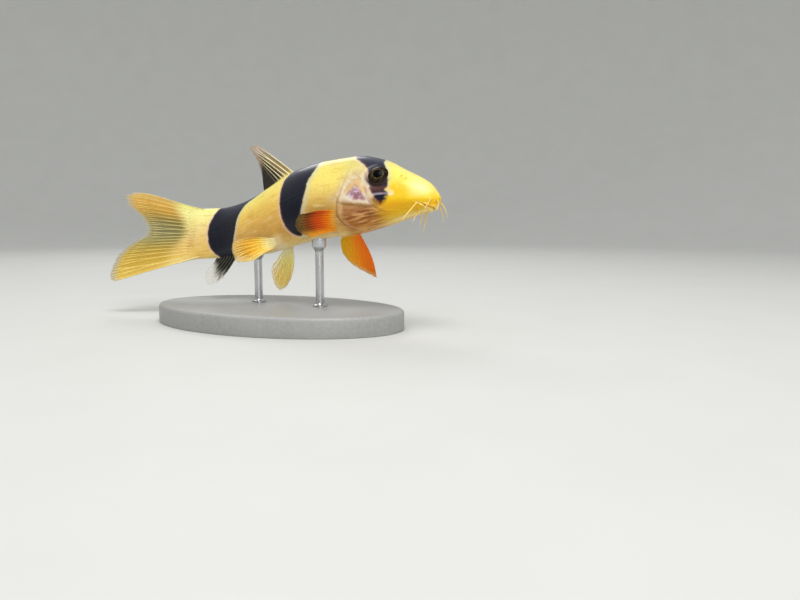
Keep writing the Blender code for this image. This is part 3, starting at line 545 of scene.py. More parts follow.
class Look:
    """A node material under construction. Its methods add nodes and give back their outputs."""

    def __init__(self, name):
        self.made = bpy.data.materials.new(name)
        self.made.use_nodes = True
        self.nodes = self.made.node_tree.nodes
        self.links = self.made.node_tree.links
        self.shader = self.nodes["Principled BSDF"]

    def put(self, socket, value):
        """Sets a socket to a number or colour, or links an output to it."""
        if isinstance(value, bpy.types.NodeSocket):
            self.links.new(value, socket)
        else:
            socket.default_value = value

    def surface(self, **values):
        """Sets the shader's sockets, named with underscores for spaces."""
        for name, value in values.items():
            self.put(self.shader.inputs[name.replace("_", " ")], value)

    def attribute(self, name):
        node = self.nodes.new("ShaderNodeAttribute")
        node.attribute_name = name
        return node.outputs["Fac"]

    def spot(self):
        return self.nodes.new("ShaderNodeTexCoord").outputs["Object"]

    def math(self, operation, a, b=0.0):
        node = self.nodes.new("ShaderNodeMath")
        node.operation = operation
        self.put(node.inputs[0], a)
        self.put(node.inputs[1], b)
        return node.outputs[0]

    def step(self, value, low, high, start=0.0, end=1.0):
        """start below low, end above high, and smooth between."""
        node = self.nodes.new("ShaderNodeMapRange")
        node.interpolation_type = "SMOOTHSTEP"
        self.put(node.inputs["Value"], value)
        for name, number in (("From Min", low), ("From Max", high), ("To Min", start), ("To Max", end)):
            node.inputs[name].default_value = number
        return node.outputs["Result"]

    def line(self, value, middle, width):
        """1 where a value is at middle, falling to 0 at width to each side."""
        off = self.math("ABSOLUTE", self.math("SUBTRACT", value, middle))
        return self.step(off, 0.0, width, 1.0, 0.0)

    def ramp(self, value, *stops):
        node = self.nodes.new("ShaderNodeValToRGB")
        self.put(node.inputs[0], value)
        marks = node.color_ramp.elements
        for mark, (position, colour) in zip(marks, (stops[0], stops[-1])):
            mark.position, mark.color = position, rgb(*colour)
        for position, colour in stops[1:-1]:
            marks.new(position).color = rgb(*colour)
        return node.outputs["Color"]

    def mix(self, share, a, b, way="MIX"):
        node = self.nodes.new("ShaderNodeMix")
        node.data_type = "RGBA"
        node.blend_type = way
        self.put(node.inputs[0], share)
        self.put(node.inputs[6], a)
        self.put(node.inputs[7], b)
        return node.outputs[2]

    def noise(self, scale, detail=3.0, vector=None):
        node = self.nodes.new("ShaderNodeTexNoise")
        self.put(node.inputs["Vector"], vector or self.spot())
        node.inputs["Scale"].default_value = scale
        node.inputs["Detail"].default_value = detail
        return node.outputs["Fac"]

    def stretched(self, first, first_scale, second, second_scale):
        """A vector for patterns that run along two attributes at their own scales."""
        node = self.nodes.new("ShaderNodeCombineXYZ")
        self.put(node.inputs[0], self.math("MULTIPLY", first, first_scale))
        self.put(node.inputs[1], self.math("MULTIPLY", second, second_scale))
        return node.outputs[0]

    def cells(self, scale, vector):
        node = self.nodes.new("ShaderNodeTexVoronoi")
        self.put(node.inputs["Vector"], vector)
        node.inputs["Scale"].default_value = scale
        return node.outputs["Distance"]

    def between(self, share, a, b):
        """A number from a to b as share goes from 0 to 1."""
        node = self.nodes.new("ShaderNodeMix")
        for k, value in ((0, share), (2, a), (3, b)):
            self.put(node.inputs[k], value)
        return node.outputs[0]

    def bump(self, height, distance, strength=1.0, below=None):
        node = self.nodes.new("ShaderNodeBump")
        self.put(node.inputs["Height"], height)
        node.inputs["Distance"].default_value = distance
        node.inputs["Strength"].default_value = strength
        if below:
            self.links.new(below, node.inputs["Normal"])
        return node.outputs["Normal"]


def skin_look():
    look = Look("loach_skin")
    place, turn, band = (look.attribute(name) for name in ("place", "turn", "band"))
    round_share = look.math("DIVIDE", turn, 180.0)
    head = look.ramp(
        round_share,
        (0.00, (220, 200, 104)), (0.17, (244, 226, 120)), (0.33, (250, 228, 90)), (0.45, (244, 212, 54)),
        (0.56, (246, 212, 40)), (0.66, (238, 194, 14)), (0.82, (236, 184, 12)), (0.92, (236, 196, 60)), (1.00, (246, 222, 140)),
    )
    gills = look.ramp(
        round_share,
        (0.00, (172, 168, 80)), (0.20, (204, 192, 92)), (0.33, (224, 208, 118)), (0.44, (218, 194, 122)),
        (0.55, (204, 162, 110)), (0.66, (180, 126, 80)), (0.76, (158, 96, 36)), (0.87, (184, 120, 48)), (1.00, (216, 164, 84)),
    )
    shoulder = look.ramp(
        round_share,
        (0.00, (170, 162, 66)), (0.16, (204, 190, 80)), (0.30, (236, 216, 104)), (0.42, (242, 220, 112)),
        (0.52, (222, 188, 96)), (0.64, (196, 156, 78)), (0.80, (200, 158, 80)), (0.92, (236, 196, 120)), (1.00, (252, 222, 150)),
    )
    middle = look.ramp(
        round_share,
        (0.00, (176, 168, 62)), (0.14, (222, 206, 88)), (0.27, (252, 236, 118)), (0.40, (252, 222, 104)),
        (0.50, (244, 200, 92)), (0.62, (226, 176, 86)), (0.78, (216, 168, 78)), (0.90, (244, 204, 118)), (1.00, (255, 226, 150)),
    )
    stem = look.ramp(round_share, *STEM_COLOURS)
    colour = look.mix(look.step(place, 0.150, 0.225), head, gills)
    colour = look.mix(look.step(place, 0.290, 0.350), colour, shoulder)
    colour = look.mix(look.step(place, 0.420, 0.520), colour, middle)
    colour = look.mix(look.step(place, 0.780, 0.900), colour, stem)
    streaks = look.noise(1.0, 3.0, look.stretched(place, 13.0, turn, 0.115))
    behind = look.step(place, 0.25, 0.35)
    colour = look.mix(look.math("MULTIPLY", behind, look.step(streaks, 0.54, 0.68, 0.0, 0.26)), colour, rgb(252, 236, 176))
    colour = look.mix(look.math("MULTIPLY", behind, look.step(streaks, 0.46, 0.30, 0.0, 0.24)), colour, rgb(176, 128, 64))
    blotches = look.noise(230.0, 4.0)
    colour = look.mix(look.step(blotches, 0.50, 0.75, 0.0, 0.22), colour, rgb(214, 160, 66), "MULTIPLY")
    grain = look.noise(2600.0, 2.0)
    colour = look.mix(look.step(grain, 0.35, 0.75, 0.0, 0.16), colour, rgb(120, 96, 40), "MULTIPLY")
    colour = gill_colours(look, colour, place, turn, blotches, grain)
    colour = face_colours(look, colour, place, turn, blotches)
    # painted highlight: a pale line along the belly fold by the pelvic fins
    fold = look.math("MULTIPLY", look.line(place, 0.600, 0.060), look.step(turn, 134.0, 152.0, 0.0, 0.55))
    colour = look.mix(fold, colour, rgb(252, 238, 206))
    colour = band_colours(look, colour, place, turn, band, blotches)
    look.surface(Base_Color=colour, Roughness=look.step(grain, 0.3, 0.7, 0.32, 0.44))
    look.surface(Specular_IOR_Level=0.22, Coat_Weight=0.30, Coat_Roughness=0.12, Coat_IOR=1.33)
    look.surface(Subsurface_Weight=0.10, Subsurface_Radius=(1.0, 0.55, 0.2), Subsurface_Scale=0.0012)
    scales = look.cells(4300.0, look.spot())
    look.surface(Normal=look.bump(blotches, 0.00008, 0.35, look.bump(scales, 0.00002, 0.45)))
    return look.made


def gill_colours(look, colour, place, turn, blotches, grain):
    """The gill cover's lilac plate with its golden rim, a painted highlight along its raised rear edge, a dark line of
    painted shade in the gill slit, and the brown folds below.
    """
    gill, near_plate = look.attribute("gill"), look.attribute("plate")
    cloud = look.noise(620.0, 3.0)
    uneven = look.math("MULTIPLY", look.math("SUBTRACT", cloud, 0.5), 0.9)
    plate = look.math("ADD", near_plate, uneven)
    pale = look.math("MULTIPLY", look.step(near_plate, 3.4, 0.8, 0.0, 0.62), look.step(turn, 112.0, 98.0))
    colour = look.mix(pale, colour, look.mix(look.step(cloud, 0.40, 0.62), rgb(190, 160, 132), rgb(218, 206, 184)))
    # painted highlight: a pale cream rim along the raised rear edge of the gill cover
    edge = look.math("MULTIPLY", look.line(gill, -0.75, 1.1), look.step(cloud, 0.30, 0.60, 0.15, 0.60))
    edge = look.math("MULTIPLY", edge, look.math("MULTIPLY", look.step(turn, 58.0, 80.0), look.step(turn, 136.0, 108.0, 0.30, 1.0)))
    colour = look.mix(edge, colour, rgb(240, 218, 178))
    rim = look.mix(look.step(turn, 86.0, 100.0), rgb(220, 178, 112), rgb(226, 216, 194))
    colour = look.mix(look.math("MULTIPLY", look.line(plate, 0.10, 0.60), 0.75), colour, rim)
    lilac = look.mix(look.step(cloud, 0.40, 0.60), rgb(146, 98, 106), rgb(196, 168, 186))
    lilac = look.mix(look.step(grain, 0.52, 0.74, 0.0, 0.6), lilac, rgb(226, 208, 218))
    colour = look.mix(look.step(plate, 0.05, -0.55), colour, lilac)
    under = look.math("MULTIPLY", look.line(plate, 0.95, 0.50), look.step(turn, 102.0, 110.0))
    colour = look.mix(look.math("MULTIPLY", under, 0.60), colour, rgb(108, 84, 40))
    folds = look.noise(1.0, 2.5, look.stretched(place, 17.0, turn, 0.20))
    low = look.math("MULTIPLY", look.step(turn, 112.0, 126.0), look.line(place, 0.24, 0.12))
    colour = look.mix(look.math("MULTIPLY", low, look.step(folds, 0.50, 0.64, 0.0, 0.75)), colour, rgb(222, 172, 108))
    colour = look.mix(look.math("MULTIPLY", low, look.step(folds, 0.50, 0.36, 0.0, 0.72)), colour, rgb(122, 62, 18))
    # painted shade: a dark brown line in the gill slit behind the raised cover
    slit_shade = look.math("MULTIPLY", look.line(gill, 0.30, 0.40), look.step(turn, 76.0, 112.0, 0.0, 0.42))
    return look.mix(slit_shade, colour, rgb(140, 92, 56))


def face_colours(look, colour, place, turn, blotches):
    """A painted highlight on the snout's top above a deep yellow jaw, pale lips with a line of painted shade between
    them, the cheek spine's streak and skin round the eye.
    """
    lips, slot, eye = (look.attribute(name) for name in ("lips", "slot", "eye"))
    # painted highlight: a pale patch on the top of the snout
    snout_highlight = look.math("MULTIPLY", look.line(place, 0.060, 0.055), look.line(turn, 66.0, 46.0))
    colour = look.mix(look.math("MULTIPLY", snout_highlight, 0.75), colour, rgb(252, 240, 160))
    golden = look.math("MULTIPLY", look.step(look.noise(260.0, 2.0), 0.40, 0.60, 0.0, 0.80), look.line(place, 0.135, 0.085))
    golden = look.math("MULTIPLY", golden, look.line(turn, 84.0, 34.0))
    colour = look.mix(golden, colour, rgb(236, 186, 8))
    jaw = look.math("MULTIPLY", look.line(place, 0.135, 0.090), look.line(turn, 122.0, 26.0))
    jaw = look.math("MULTIPLY", jaw, look.step(blotches, 0.30, 0.60, 0.6, 1.0))
    colour = look.mix(look.math("MULTIPLY", jaw, 0.80), colour, rgb(232, 164, 0))
    colour = look.mix(look.step(lips, 1.1, 0.3, 0.0, 0.5), colour, rgb(248, 220, 120))
    # painted shade: a dark line in the crease between the lips
    colour = look.mix(look.step(lips, 0.20, 0.06, 0.0, 0.6), colour, rgb(160, 104, 50))
    ring = look.step(eye, 4.4, 2.8, 0.0, 0.80)
    colour = look.mix(look.math("MULTIPLY", ring, look.step(place, 0.200, 0.225)), colour, rgb(138, 106, 100))
    streak = look.math("MULTIPLY", look.step(slot, 1.1, 0.0, 0.0, 0.70), look.step(blotches, 0.30, 0.62, 0.15, 1.0))
    return look.mix(streak, colour, rgb(250, 236, 190))


def band_colours(look, colour, place, turn, band, blotches):
    """Blue-black bands with soft pale edges, painted lighter and bluer towards the back as a painted sheen. The first
    thins out to a brown smudge on the cheek.
    """
    front = look.attribute("front_edge")
    slot, eye = look.attribute("slot"), look.attribute("eye")
    cheek = look.math("MULTIPLY", look.step(place, 0.26, 0.24), look.step(turn, 84.0, 102.0))
    uneven = look.math("MULTIPLY", look.math("SUBTRACT", look.noise(900.0, 3.0), 0.5), look.between(cheek, 0.35, 1.6))
    depth = look.math("ADD", band, uneven)
    near_eye = look.step(eye, 6.0, 2.8)
    brown = look.math("MULTIPLY", near_eye, look.math("MULTIPLY", look.step(turn, 76.0, 86.0), look.step(turn, 100.0, 92.0)))
    gap = look.math("MULTIPLY", near_eye, look.math("MULTIPLY", look.step(turn, 80.0, 91.0), look.step(turn, 97.0, 92.5)))
    depth = look.math("SUBTRACT", depth, look.math("MULTIPLY", gap, look.step(place, 0.188, 0.166, 0.0, 3.4)))
    edge = look.mix(front, rgb(78, 46, 58), rgb(40, 46, 58))
    # painted sheen: the bands' black turns lighter and bluer towards the back, where the top light falls
    black = look.mix(look.step(turn, 78.0, 25.0), rgb(9, 12, 28), rgb(25, 26, 49))
    black = look.mix(look.step(depth, 0.8, 0.0, 0.0, 0.8), black, edge)
    depth = look.math("MULTIPLY", depth, look.between(cheek, 1.0, 0.34))
    fringe = look.mix(front, rgb(224, 192, 176), rgb(196, 200, 176))
    wide = look.math("MULTIPLY", front, look.math("MAXIMUM", look.step(place, 0.28, 0.36), look.step(turn, 76.0, 62.0)))
    glow = look.math("MULTIPLY", look.line(depth, -0.5, 1.15), wide)
    glow = look.math("MAXIMUM", look.line(depth, -0.25, 0.62), glow)
    pale = look.math("MULTIPLY", glow, look.between(cheek, 0.55, 0.0))
    colour = look.mix(pale, colour, fringe)
    black = look.mix(look.math("MULTIPLY", brown, 0.90), black, rgb(98, 52, 42))
    streak = look.math("MULTIPLY", look.step(slot, 0.48, 0.0, 0.0, 0.72), look.step(blotches, 0.34, 0.66, 0.20, 1.0))
    black = look.mix(streak, black, rgb(186, 168, 182))
    tip = look.math("MULTIPLY", look.step(turn, 106.0, 117.0), look.step(place, 0.25, 0.22))
    black = look.mix(look.math("MULTIPLY", tip, 0.85), black, rgb(124, 60, 20))
    colour = look.mix(look.step(depth, -0.24, 0.24), colour, black)
    crescent = look.math("MULTIPLY", look.step(eye, 3.7, 3.0), look.step(turn, 64.0, 80.0))
    return look.mix(look.math("MULTIPLY", crescent, 0.92), colour, rgb(34, 19, 14))


def make_eyes():
    for side, name in ((1, "eye_right"), (-1, "eye_left")):
        centre, axes = skin_frame(EYE_PLACE, EYE_ANGLE * side)
        mesh, around, along = grid_mesh(name + "_ball", 96, 64)
        angle, tilt = around * 2 * math.pi, along * math.pi
        reach = EYE_RADIUS * np.sin(tilt)
        spot = np.stack((reach * np.cos(angle), reach * np.sin(angle), EYE_DEPTH_RADIUS * np.cos(tilt) - EYE_SUNK), -1)
        set_points(mesh, centre + spot @ axes * MM)
        from_pupil = np.hypot(spot[:, 0] - PUPIL_AHEAD, spot[:, 1] + PUPIL_LOW * side)
        set_attribute(mesh, "reach", np.where(tilt < math.pi / 2, from_pupil, EYE_RADIUS))
        finish_mesh(mesh)
        piece(name + "_ball", mesh, eye_look(name + "_ball"), "eye", name)


def eye_look(name):
    look = Look(name)
    reach = look.attribute("reach")
    streaks = look.noise(1800.0, 3.0)
    iris = look.mix(look.step(streaks, 0.35, 0.65), rgb(22, 14, 11), rgb(54, 40, 28))
    iris = look.mix(look.step(reach, 2.0, 2.6), iris, rgb(30, 17, 16))
    ring = look.math("MULTIPLY", look.line(reach, IRIS_RING, 0.34), look.step(streaks, 0.30, 0.6, 0.15, 0.62))
    iris = look.mix(ring, iris, rgb(92, 86, 48))
    colour = look.mix(look.step(reach, PUPIL_RADIUS, PUPIL_RADIUS + 0.10), rgb(1, 1, 2), iris)
    look.surface(Base_Color=colour, Roughness=look.step(streaks, 0.3, 0.7, 0.22, 0.30))
    look.surface(Specular_IOR_Level=0.03, Coat_Weight=0.16, Coat_Roughness=0.03, Coat_IOR=1.22)
    return look.made


def branches(off, along, first, second):
    """How near a spot is to a ray or its branches, 1 on it. off is in spaces between rays."""
    split = 0.25 * smoothstep(first, 0.97, along)
    fine = 0.125 * smoothstep(second, 1.0, along)
    away = np.min([np.abs(off - a * split - b * fine) for a in (1, -1) for b in (1, -1)], axis=0)
    width = blend(0.21, 0.070, smoothstep(0.0, 0.9, along))
    return np.clip(1 - (away / width) ** 2, 0, 1)


def make_fin(name, rays, rows, surface, sideways, look, slot, split=(0.36, 0.66), root_thickness=0.45, wave=0.0, ragged=0.014):
    """A fin of thin membrane with branching rays, raised alike on both faces."""
    columns = (rays - 1) * COLUMNS_PER_RAY
    mesh, across, along = grid_mesh(name + "_rays", columns, rows)
    along = along**0.9
    off = across * (rays - 1)
    index = np.round(off)
    end_ray = (index == 0) | (index == rays - 1)
    ridge = branches(off - index, along, *split)
    stem = np.clip(1 - (np.abs(off - index) / 0.30) ** 2, 0, 1)
    ridge = np.where(end_ray, np.maximum(ridge * smoothstep(0.5, 1.0, along), stem), ridge)
    reach = along * (1 - ragged * (1 - ridge) * smoothstep(0.85, 1.0, along))
    reach *= 1 - 0.010 * smoothstep(0.8, 1.0, along) * (1 + np.sin(off * 5.3) * np.sin(off * 2.1))
    half = MEMBRANE * (1 - 0.45 * smoothstep(0.7, 1.0, along))
    half = half + RAY_RISE * ridge * blend(1.35, 0.45, along)
    half = half + (root_thickness - MEMBRANE) * bell(along, 0.10)
    middle, out = surface(across, reach), sideways(across, reach)
    ripple = wave * np.sin(across * 9.0 + along * 2.0) * smoothstep(0.2, 1.0, along)
    middle = middle + out * ripple[:, None] * MM
    shells = []
    for face in (1, -1):
        shell = mesh if face == 1 else mesh.copy()
        set_points(shell, middle + out * (half * face * MM)[:, None])
        for label, values in (("ray", ridge), ("along", along), ("across", across)):
            set_attribute(shell, label, values)
        shells.append(shell)
    bm = bmesh.new()
    bm.from_mesh(shells[0])
    bmesh.ops.triangulate(bm, faces=bm.faces, quad_method="FIXED")
    front = set(bm.faces)
    bm.from_mesh(shells[1])
    back = [face for face in bm.faces if face not in front]
    back = bmesh.ops.triangulate(bm, faces=back, quad_method="FIXED")["faces"]
    bmesh.ops.reverse_faces(bm, faces=back)
    uv = bm.loops.layers.uv["OFBake"]
    for face in back:
        for loop in face.loops:
            loop[uv].uv.x += 1.02
    bmesh.ops.bridge_loops(bm, edges=[edge for edge in bm.edges if edge.is_boundary])
    for face in bm.faces:
        for loop in face.loops:
            loop[uv].uv.x /= 2.02
    bmesh.ops.recalc_face_normals(bm, faces=bm.faces)
    bmesh.ops.triangulate(bm, faces=bm.faces)
    bm.to_mesh(mesh)
    bm.free()
    mesh.shade_smooth()
    piece(name + "_rays", mesh, look, slot, name)


def median_fin(name, root, edge, rays, rows, look, slot, bulge=0.0, **more):
    """A fin of the fish's middle plane. root(across) and the edge give place and height."""
    edge_place, edge_height = smooth_curve(edge, 1), smooth_curve(edge, 2)

    def spot(across, along):
        place, height = root(across)
        arch = np.maximum(0.0, 1 - across / TAIL_BULGE_REACH) ** 2
        rise = bulge * arch * np.sin(math.pi * along**TAIL_BULGE_LATE)
        return blend(place, edge_place(across), along), blend(height, edge_height(across), along) + rise

    def surface(across, along):
        return fish_point(*spot(across, along))

    def sideways(across, along):
        return backbone_axes(spot(across, along)[0])[2]

    make_fin(name, rays, rows, surface, sideways, look, slot, **more)


def paired_fin(name, rays, rows, look, slot, **more):
    """A fin of one side, fanned from a short root sunk in the skin."""
    (front, back), edge, bow = PAIRED_FINS[name]
    behind, aside, higher = (smooth_curve(edge, column) for column in (1, 2, 3))
    middle_place, middle_turn = blend(front[0], back[0], 0.5), blend(front[1], back[1], 0.5)
    middle = skin_point(middle_place, middle_turn)
    ahead, above, right = backbone_axes(np.array(middle_place))

    def tip(across):
        away = right * aside(across)[..., None] - ahead * behind(across)[..., None]
        return middle + (away + above * higher(across)[..., None]) * MM

    ends = tip(np.array((0.0, 0.5, 1.0)))
    spread = unit(ends[0] - ends[2])
    normal = unit(np.cross(ends[1] - middle, -spread))

    def surface(across, along):
        root = skin_point(blend(front[0], back[0], across), blend(front[1], back[1], across), -0.4 * MM)
        curve = normal * FIN_CURL + spread * (bow[0] * (1 - across) - bow[1] * across)[..., None]
        straight = root + (tip(across) - root) * along[..., None]
        return straight + curve * np.sin(math.pi * along)[..., None] * MM

    def sideways(across, along):
        over = surface(np.minimum(across + 0.02, 1), along) - surface(np.maximum(across - 0.02, 0), along)
        out = surface(across, np.minimum(along + 0.02, 1)) - surface(across, np.maximum(along - 0.02, 0))
        return unit(np.cross(over, out))

    make_fin(name, rays, rows, surface, sideways, look, slot, **more)


def ridge_root(ends, ridge, sink):
    def root(across):
        place = blend(*ends, across)
        return place, ridge(place) + sink

    return root


def fin_look(name, colours_of):
    """A fin's material. colours_of gives the membrane's and rays' colours, how clear each is, and the contrast."""
    look = Look(name)
    ray, along, across = (look.attribute(label) for label in ("ray", "along", "across"))
    streaks = look.noise(1.0, 3.0, look.stretched(across, 70.0, along, 3.0))
    membrane, rays, clear, ray_clear, contrast = colours_of(look, across, along, streaks)
    on_ray = look.step(ray, 0.20, 0.75)
    colour = look.mix(on_ray, membrane, rays)
    groove = look.math("MULTIPLY", look.line(ray, 0.14, 0.14), look.step(along, 0.03, 0.20, 0.0, contrast))
    colour = look.mix(groove, colour, rgb(92, 74, 44), "MULTIPLY")
    grain = look.noise(2600.0, 2.0)
    colour = look.mix(look.step(grain, 0.35, 0.75, 0.0, 0.20), colour, rgb(140, 110, 60), "MULTIPLY")
    shown = look.math("SUBTRACT", 1.0, look.between(on_ray, clear, ray_clear))
    shown = look.math("MAXIMUM", shown, look.step(along, 0.14, 0.03))
    look.surface(Base_Color=colour, Roughness=look.step(grain, 0.3, 0.7, 0.36, 0.48), Alpha=shown)
    look.surface(Specular_IOR_Level=0.18, Coat_Weight=0.10, Coat_Roughness=0.15)
    look.surface(Subsurface_Weight=0.20, Subsurface_Radius=(1.0, 0.7, 0.35), Subsurface_Scale=0.0004)
    joints = look.math("MULTIPLY", look.math("SINE", look.math("MULTIPLY", along, 240.0)), on_ray)
    look.surface(Normal=look.bump(joints, 0.00002, 0.4))
    return look.made


def tail_colours(look, across, along, streaks):
    membrane = look.ramp(
        across,
        (0.00, (206, 176, 104)), (0.08, (212, 164, 70)), (0.20, (190, 150, 62)), (0.32, (138, 124, 58)),
        (0.48, (128, 122, 72)), (0.60, (146, 136, 74)), (0.74, (168, 144, 62)), (0.90, (200, 164, 62)), (1.00, (228, 192, 92)),
    )
    rays = look.ramp(across, (0.00, (230, 200, 124)), (0.20, (222, 184, 96)), (0.40, (198, 184, 118)), (0.60, (206, 192, 122)), (0.80, (224, 194, 98)), (1.00, (240, 208, 110)))
    reach = look.math("ADD", along, look.math("MULTIPLY", look.math("SUBTRACT", streaks, 0.5), 0.36))
    reach = look.math("SUBTRACT", reach, look.step(look.math("ABSOLUTE", look.math("SUBTRACT", across, 0.45)), 0.15, 0.50, 0.0, 0.06))
    root = look.step(reach, 0.40, 0.18)
    stem = look.ramp(across, *(((1 - math.cos(math.pi * turn)) / 2, colour) for turn, colour in STEM_COLOURS))
    membrane, rays = look.mix(root, membrane, stem), look.mix(root, rays, look.mix(0.35, stem, rgb(255, 246, 190)))
    margin = look.step(along, 0.88, 1.0, 0.0, 0.7)
    membrane, rays = look.mix(margin, membrane, rgb(196, 198, 186)), look.mix(margin, rays, rgb(216, 216, 204))
    middle = look.math("MULTIPLY", look.line(across, 0.46, 0.34), look.step(along, 0.20, 0.75, 0.0, 0.34))
    clear = look.math("ADD", look.math("MAXIMUM", middle, look.step(along, 0.88, 1.0, 0.0, 0.36)), 0.03)
    return membrane, rays, clear, look.math("MULTIPLY", clear, 0.5), 0.35


def dorsal_colours(look, across, along, streaks):
    height = look.math("ADD", along, look.math("MULTIPLY", look.math("SUBTRACT", streaks, 0.5), 0.5))
    low = look.step(height, 1.00, 0.70)
    black = look.math("MULTIPLY", look.step(across, 0.08, 0.36), low)
    black_rays = look.math("MULTIPLY", look.step(across, 0.30, 0.62), low)
    root = look.math("MULTIPLY", look.step(along, 0.20, 0.04), look.step(across, 0.75, 0.35))
    membrane = look.mix(look.step(along, 0.62, 0.92), rgb(156, 134, 88), rgb(190, 168, 148))
    membrane = look.mix(look.math("MULTIPLY", black, 0.94), membrane, rgb(12, 11, 9))
    membrane = look.mix(root, membrane, rgb(240, 214, 96))
    rays = look.mix(look.step(along, 0.45, 0.95), rgb(255, 242, 190), rgb(216, 192, 168))
    rays = look.mix(black_rays, rays, rgb(38, 33, 25))
    clear = look.math("SUBTRACT", look.step(along, 0.10, 0.95, 0.15, 0.62), look.math("MULTIPLY", black, 0.7))
    ray_clear = look.step(along, 0.70, 1.0, 0.02, 0.25)
    return membrane, rays, look.math("MAXIMUM", clear, 0.02), ray_clear, 0.8


def anal_colours(look, across, along, streaks):
    reach = look.math("ADD", along, look.math("MULTIPLY", look.math("SUBTRACT", streaks, 0.5), 0.9))
    reach = look.math("ADD", reach, look.math("MULTIPLY", across, 0.36))
    outer = look.step(reach, 0.62, 0.90)
    membrane = look.mix(outer, rgb(14, 15, 16), rgb(216, 213, 196))
    rays = look.mix(outer, rgb(88, 86, 70), rgb(222, 218, 196))
    return membrane, rays, look.math("MULTIPLY", outer, 0.90), look.math("MULTIPLY", outer, 0.62), 0.3


def pectoral_right_colours(look, across, along, streaks):
    membrane = look.ramp(
        along, (0.00, (206, 158, 92)), (0.11, (230, 160, 44)), (0.24, (228, 116, 0)), (0.42, (200, 72, 0)),
        (0.56, (176, 60, 0)), (0.70, (112, 46, 0)), (0.84, (40, 28, 8)), (1.00, (44, 36, 16)),
    )
    rays = look.ramp(
        along, (0.00, (216, 168, 98)), (0.10, (238, 178, 60)), (0.22, (240, 138, 8)), (0.52, (208, 80, 0)), (0.72, (160, 76, 0)),
        (0.86, (140, 98, 24)), (1.00, (136, 110, 44)),
    )
    low = look.step(across, 0.62, 1.0, 0.0, 0.8)
    membrane, rays = look.mix(low, membrane, rgb(226, 146, 24)), look.mix(low, rays, rgb(236, 160, 40))
    return membrane, rays, look.step(along, 0.72, 1.0, 0.02, 0.30), look.step(along, 0.80, 1.0, 0.0, 0.15), 0.12


def pectoral_left_colours(look, across, along, streaks):
    membrane = look.ramp(across, (0.00, (248, 112, 0)), (0.28, (250, 126, 0)), (0.58, (246, 160, 0)), (1.00, (238, 190, 30)))
    membrane = look.mix(look.step(along, 0.22, 0.02), membrane, rgb(240, 204, 90))
    rays = look.mix(look.step(across, 0.2, 0.9), rgb(255, 136, 0), rgb(244, 190, 40))
    tip = look.step(along, 0.86, 1.0, 0.0, 0.75)
    membrane, rays = look.mix(tip, membrane, rgb(246, 196, 104)), look.mix(tip, rays, rgb(250, 200, 112))
    return membrane, rays, look.step(along, 0.84, 1.0, 0.04, 0.40), look.step(along, 0.90, 1.0, 0.0, 0.15), 0.2


def pelvic_right_colours(look, across, along, streaks):
    membrane = look.ramp(
        along, (0.00, (252, 240, 190)), (0.20, (254, 236, 160)), (0.38, (244, 196, 50)), (0.60, (228, 160, 10)),
        (0.85, (212, 156, 44)), (1.00, (210, 170, 86)),
    )
    rays = look.ramp(
        along, (0.00, (254, 246, 206)), (0.30, (255, 232, 140)), (0.55, (250, 206, 88)), (0.85, (244, 206, 112)),
        (1.00, (240, 214, 140)),
    )
    low = look.step(across, 0.66, 1.0, 0.0, 0.75)
    membrane, rays = look.mix(low, membrane, rgb(248, 206, 96)), look.mix(low, rays, rgb(255, 236, 150))
    upper = look.math("MULTIPLY", look.step(across, 0.34, 0.04), look.step(along, 0.25, 0.7, 0.0, 0.6))
    clear = look.math("MAXIMUM", look.step(along, 0.56, 0.94, 0.0, 0.66), upper)
    clear = look.math("MULTIPLY", clear, look.step(across, 0.70, 1.0, 1.0, 0.35))
    return membrane, rays, clear, look.math("MULTIPLY", clear, 0.12), 0.35


def pelvic_left_colours(look, across, along, streaks):
    membrane = look.ramp(along, (0.00, (255, 250, 206)), (0.35, (255, 242, 136)), (0.75, (255, 222, 80)), (1.00, (255, 238, 170)))
    rays = look.ramp(along, (0.00, (255, 250, 200)), (0.45, (255, 228, 90)), (0.85, (255, 212, 60)), (1.00, (255, 232, 160)))
    sides = look.step(look.math("ABSOLUTE", look.math("SUBTRACT", across, 0.45)), 0.20, 0.50, 0.0, 0.40)
    clear = look.math("ADD", look.step(along, 0.10, 0.9, 0.22, 0.45), sides)
    return membrane, rays, clear, look.math("MULTIPLY", sides, 0.5), 0.3


def make_fins():
    tail = fin_look("tail_fin_look", tail_colours)
    dorsal = fin_look("dorsal_fin_look", dorsal_colours)
    anal = fin_look("anal_fin_look", anal_colours)

    def tail_root(across):
        return np.full_like(across, 0.985), blend(*TAIL_ROOT, across)

    median_fin("tail_fin", tail_root, TAIL_EDGE, TAIL_RAYS, 84, tail, "yellow_fin", bulge=TAIL_BULGE, wave=0.16,
               root_thickness=0.50, split=(0.30, 0.62))
    dorsal_root = ridge_root(DORSAL_ROOT, back_height, -0.006)
    median_fin("dorsal_fin", dorsal_root, DORSAL_EDGE, 10, 60, dorsal, "dark_fin", wave=0.10, ragged=0.03)
    anal_root = ridge_root(ANAL_ROOT, belly_height, 0.006)
    median_fin("anal_fin", anal_root, ANAL_EDGE, 8, 50, anal, "dark_fin", wave=0.08, ragged=0.03)
    paired_looks = (
        ("pectoral_fin_right", 12, pectoral_right_colours, "orange_fin"),
        ("pectoral_fin_left", 12, pectoral_left_colours, "orange_fin"),
        ("pelvic_fin_right", 8, pelvic_right_colours, "yellow_fin"),
        ("pelvic_fin_left", 8, pelvic_left_colours, "yellow_fin"),
    )
    for name, rays, colours, slot in paired_looks:
        paired_fin(name, rays, 60, fin_look(name + "_look", colours), slot, wave=0.10, ragged=0.012)


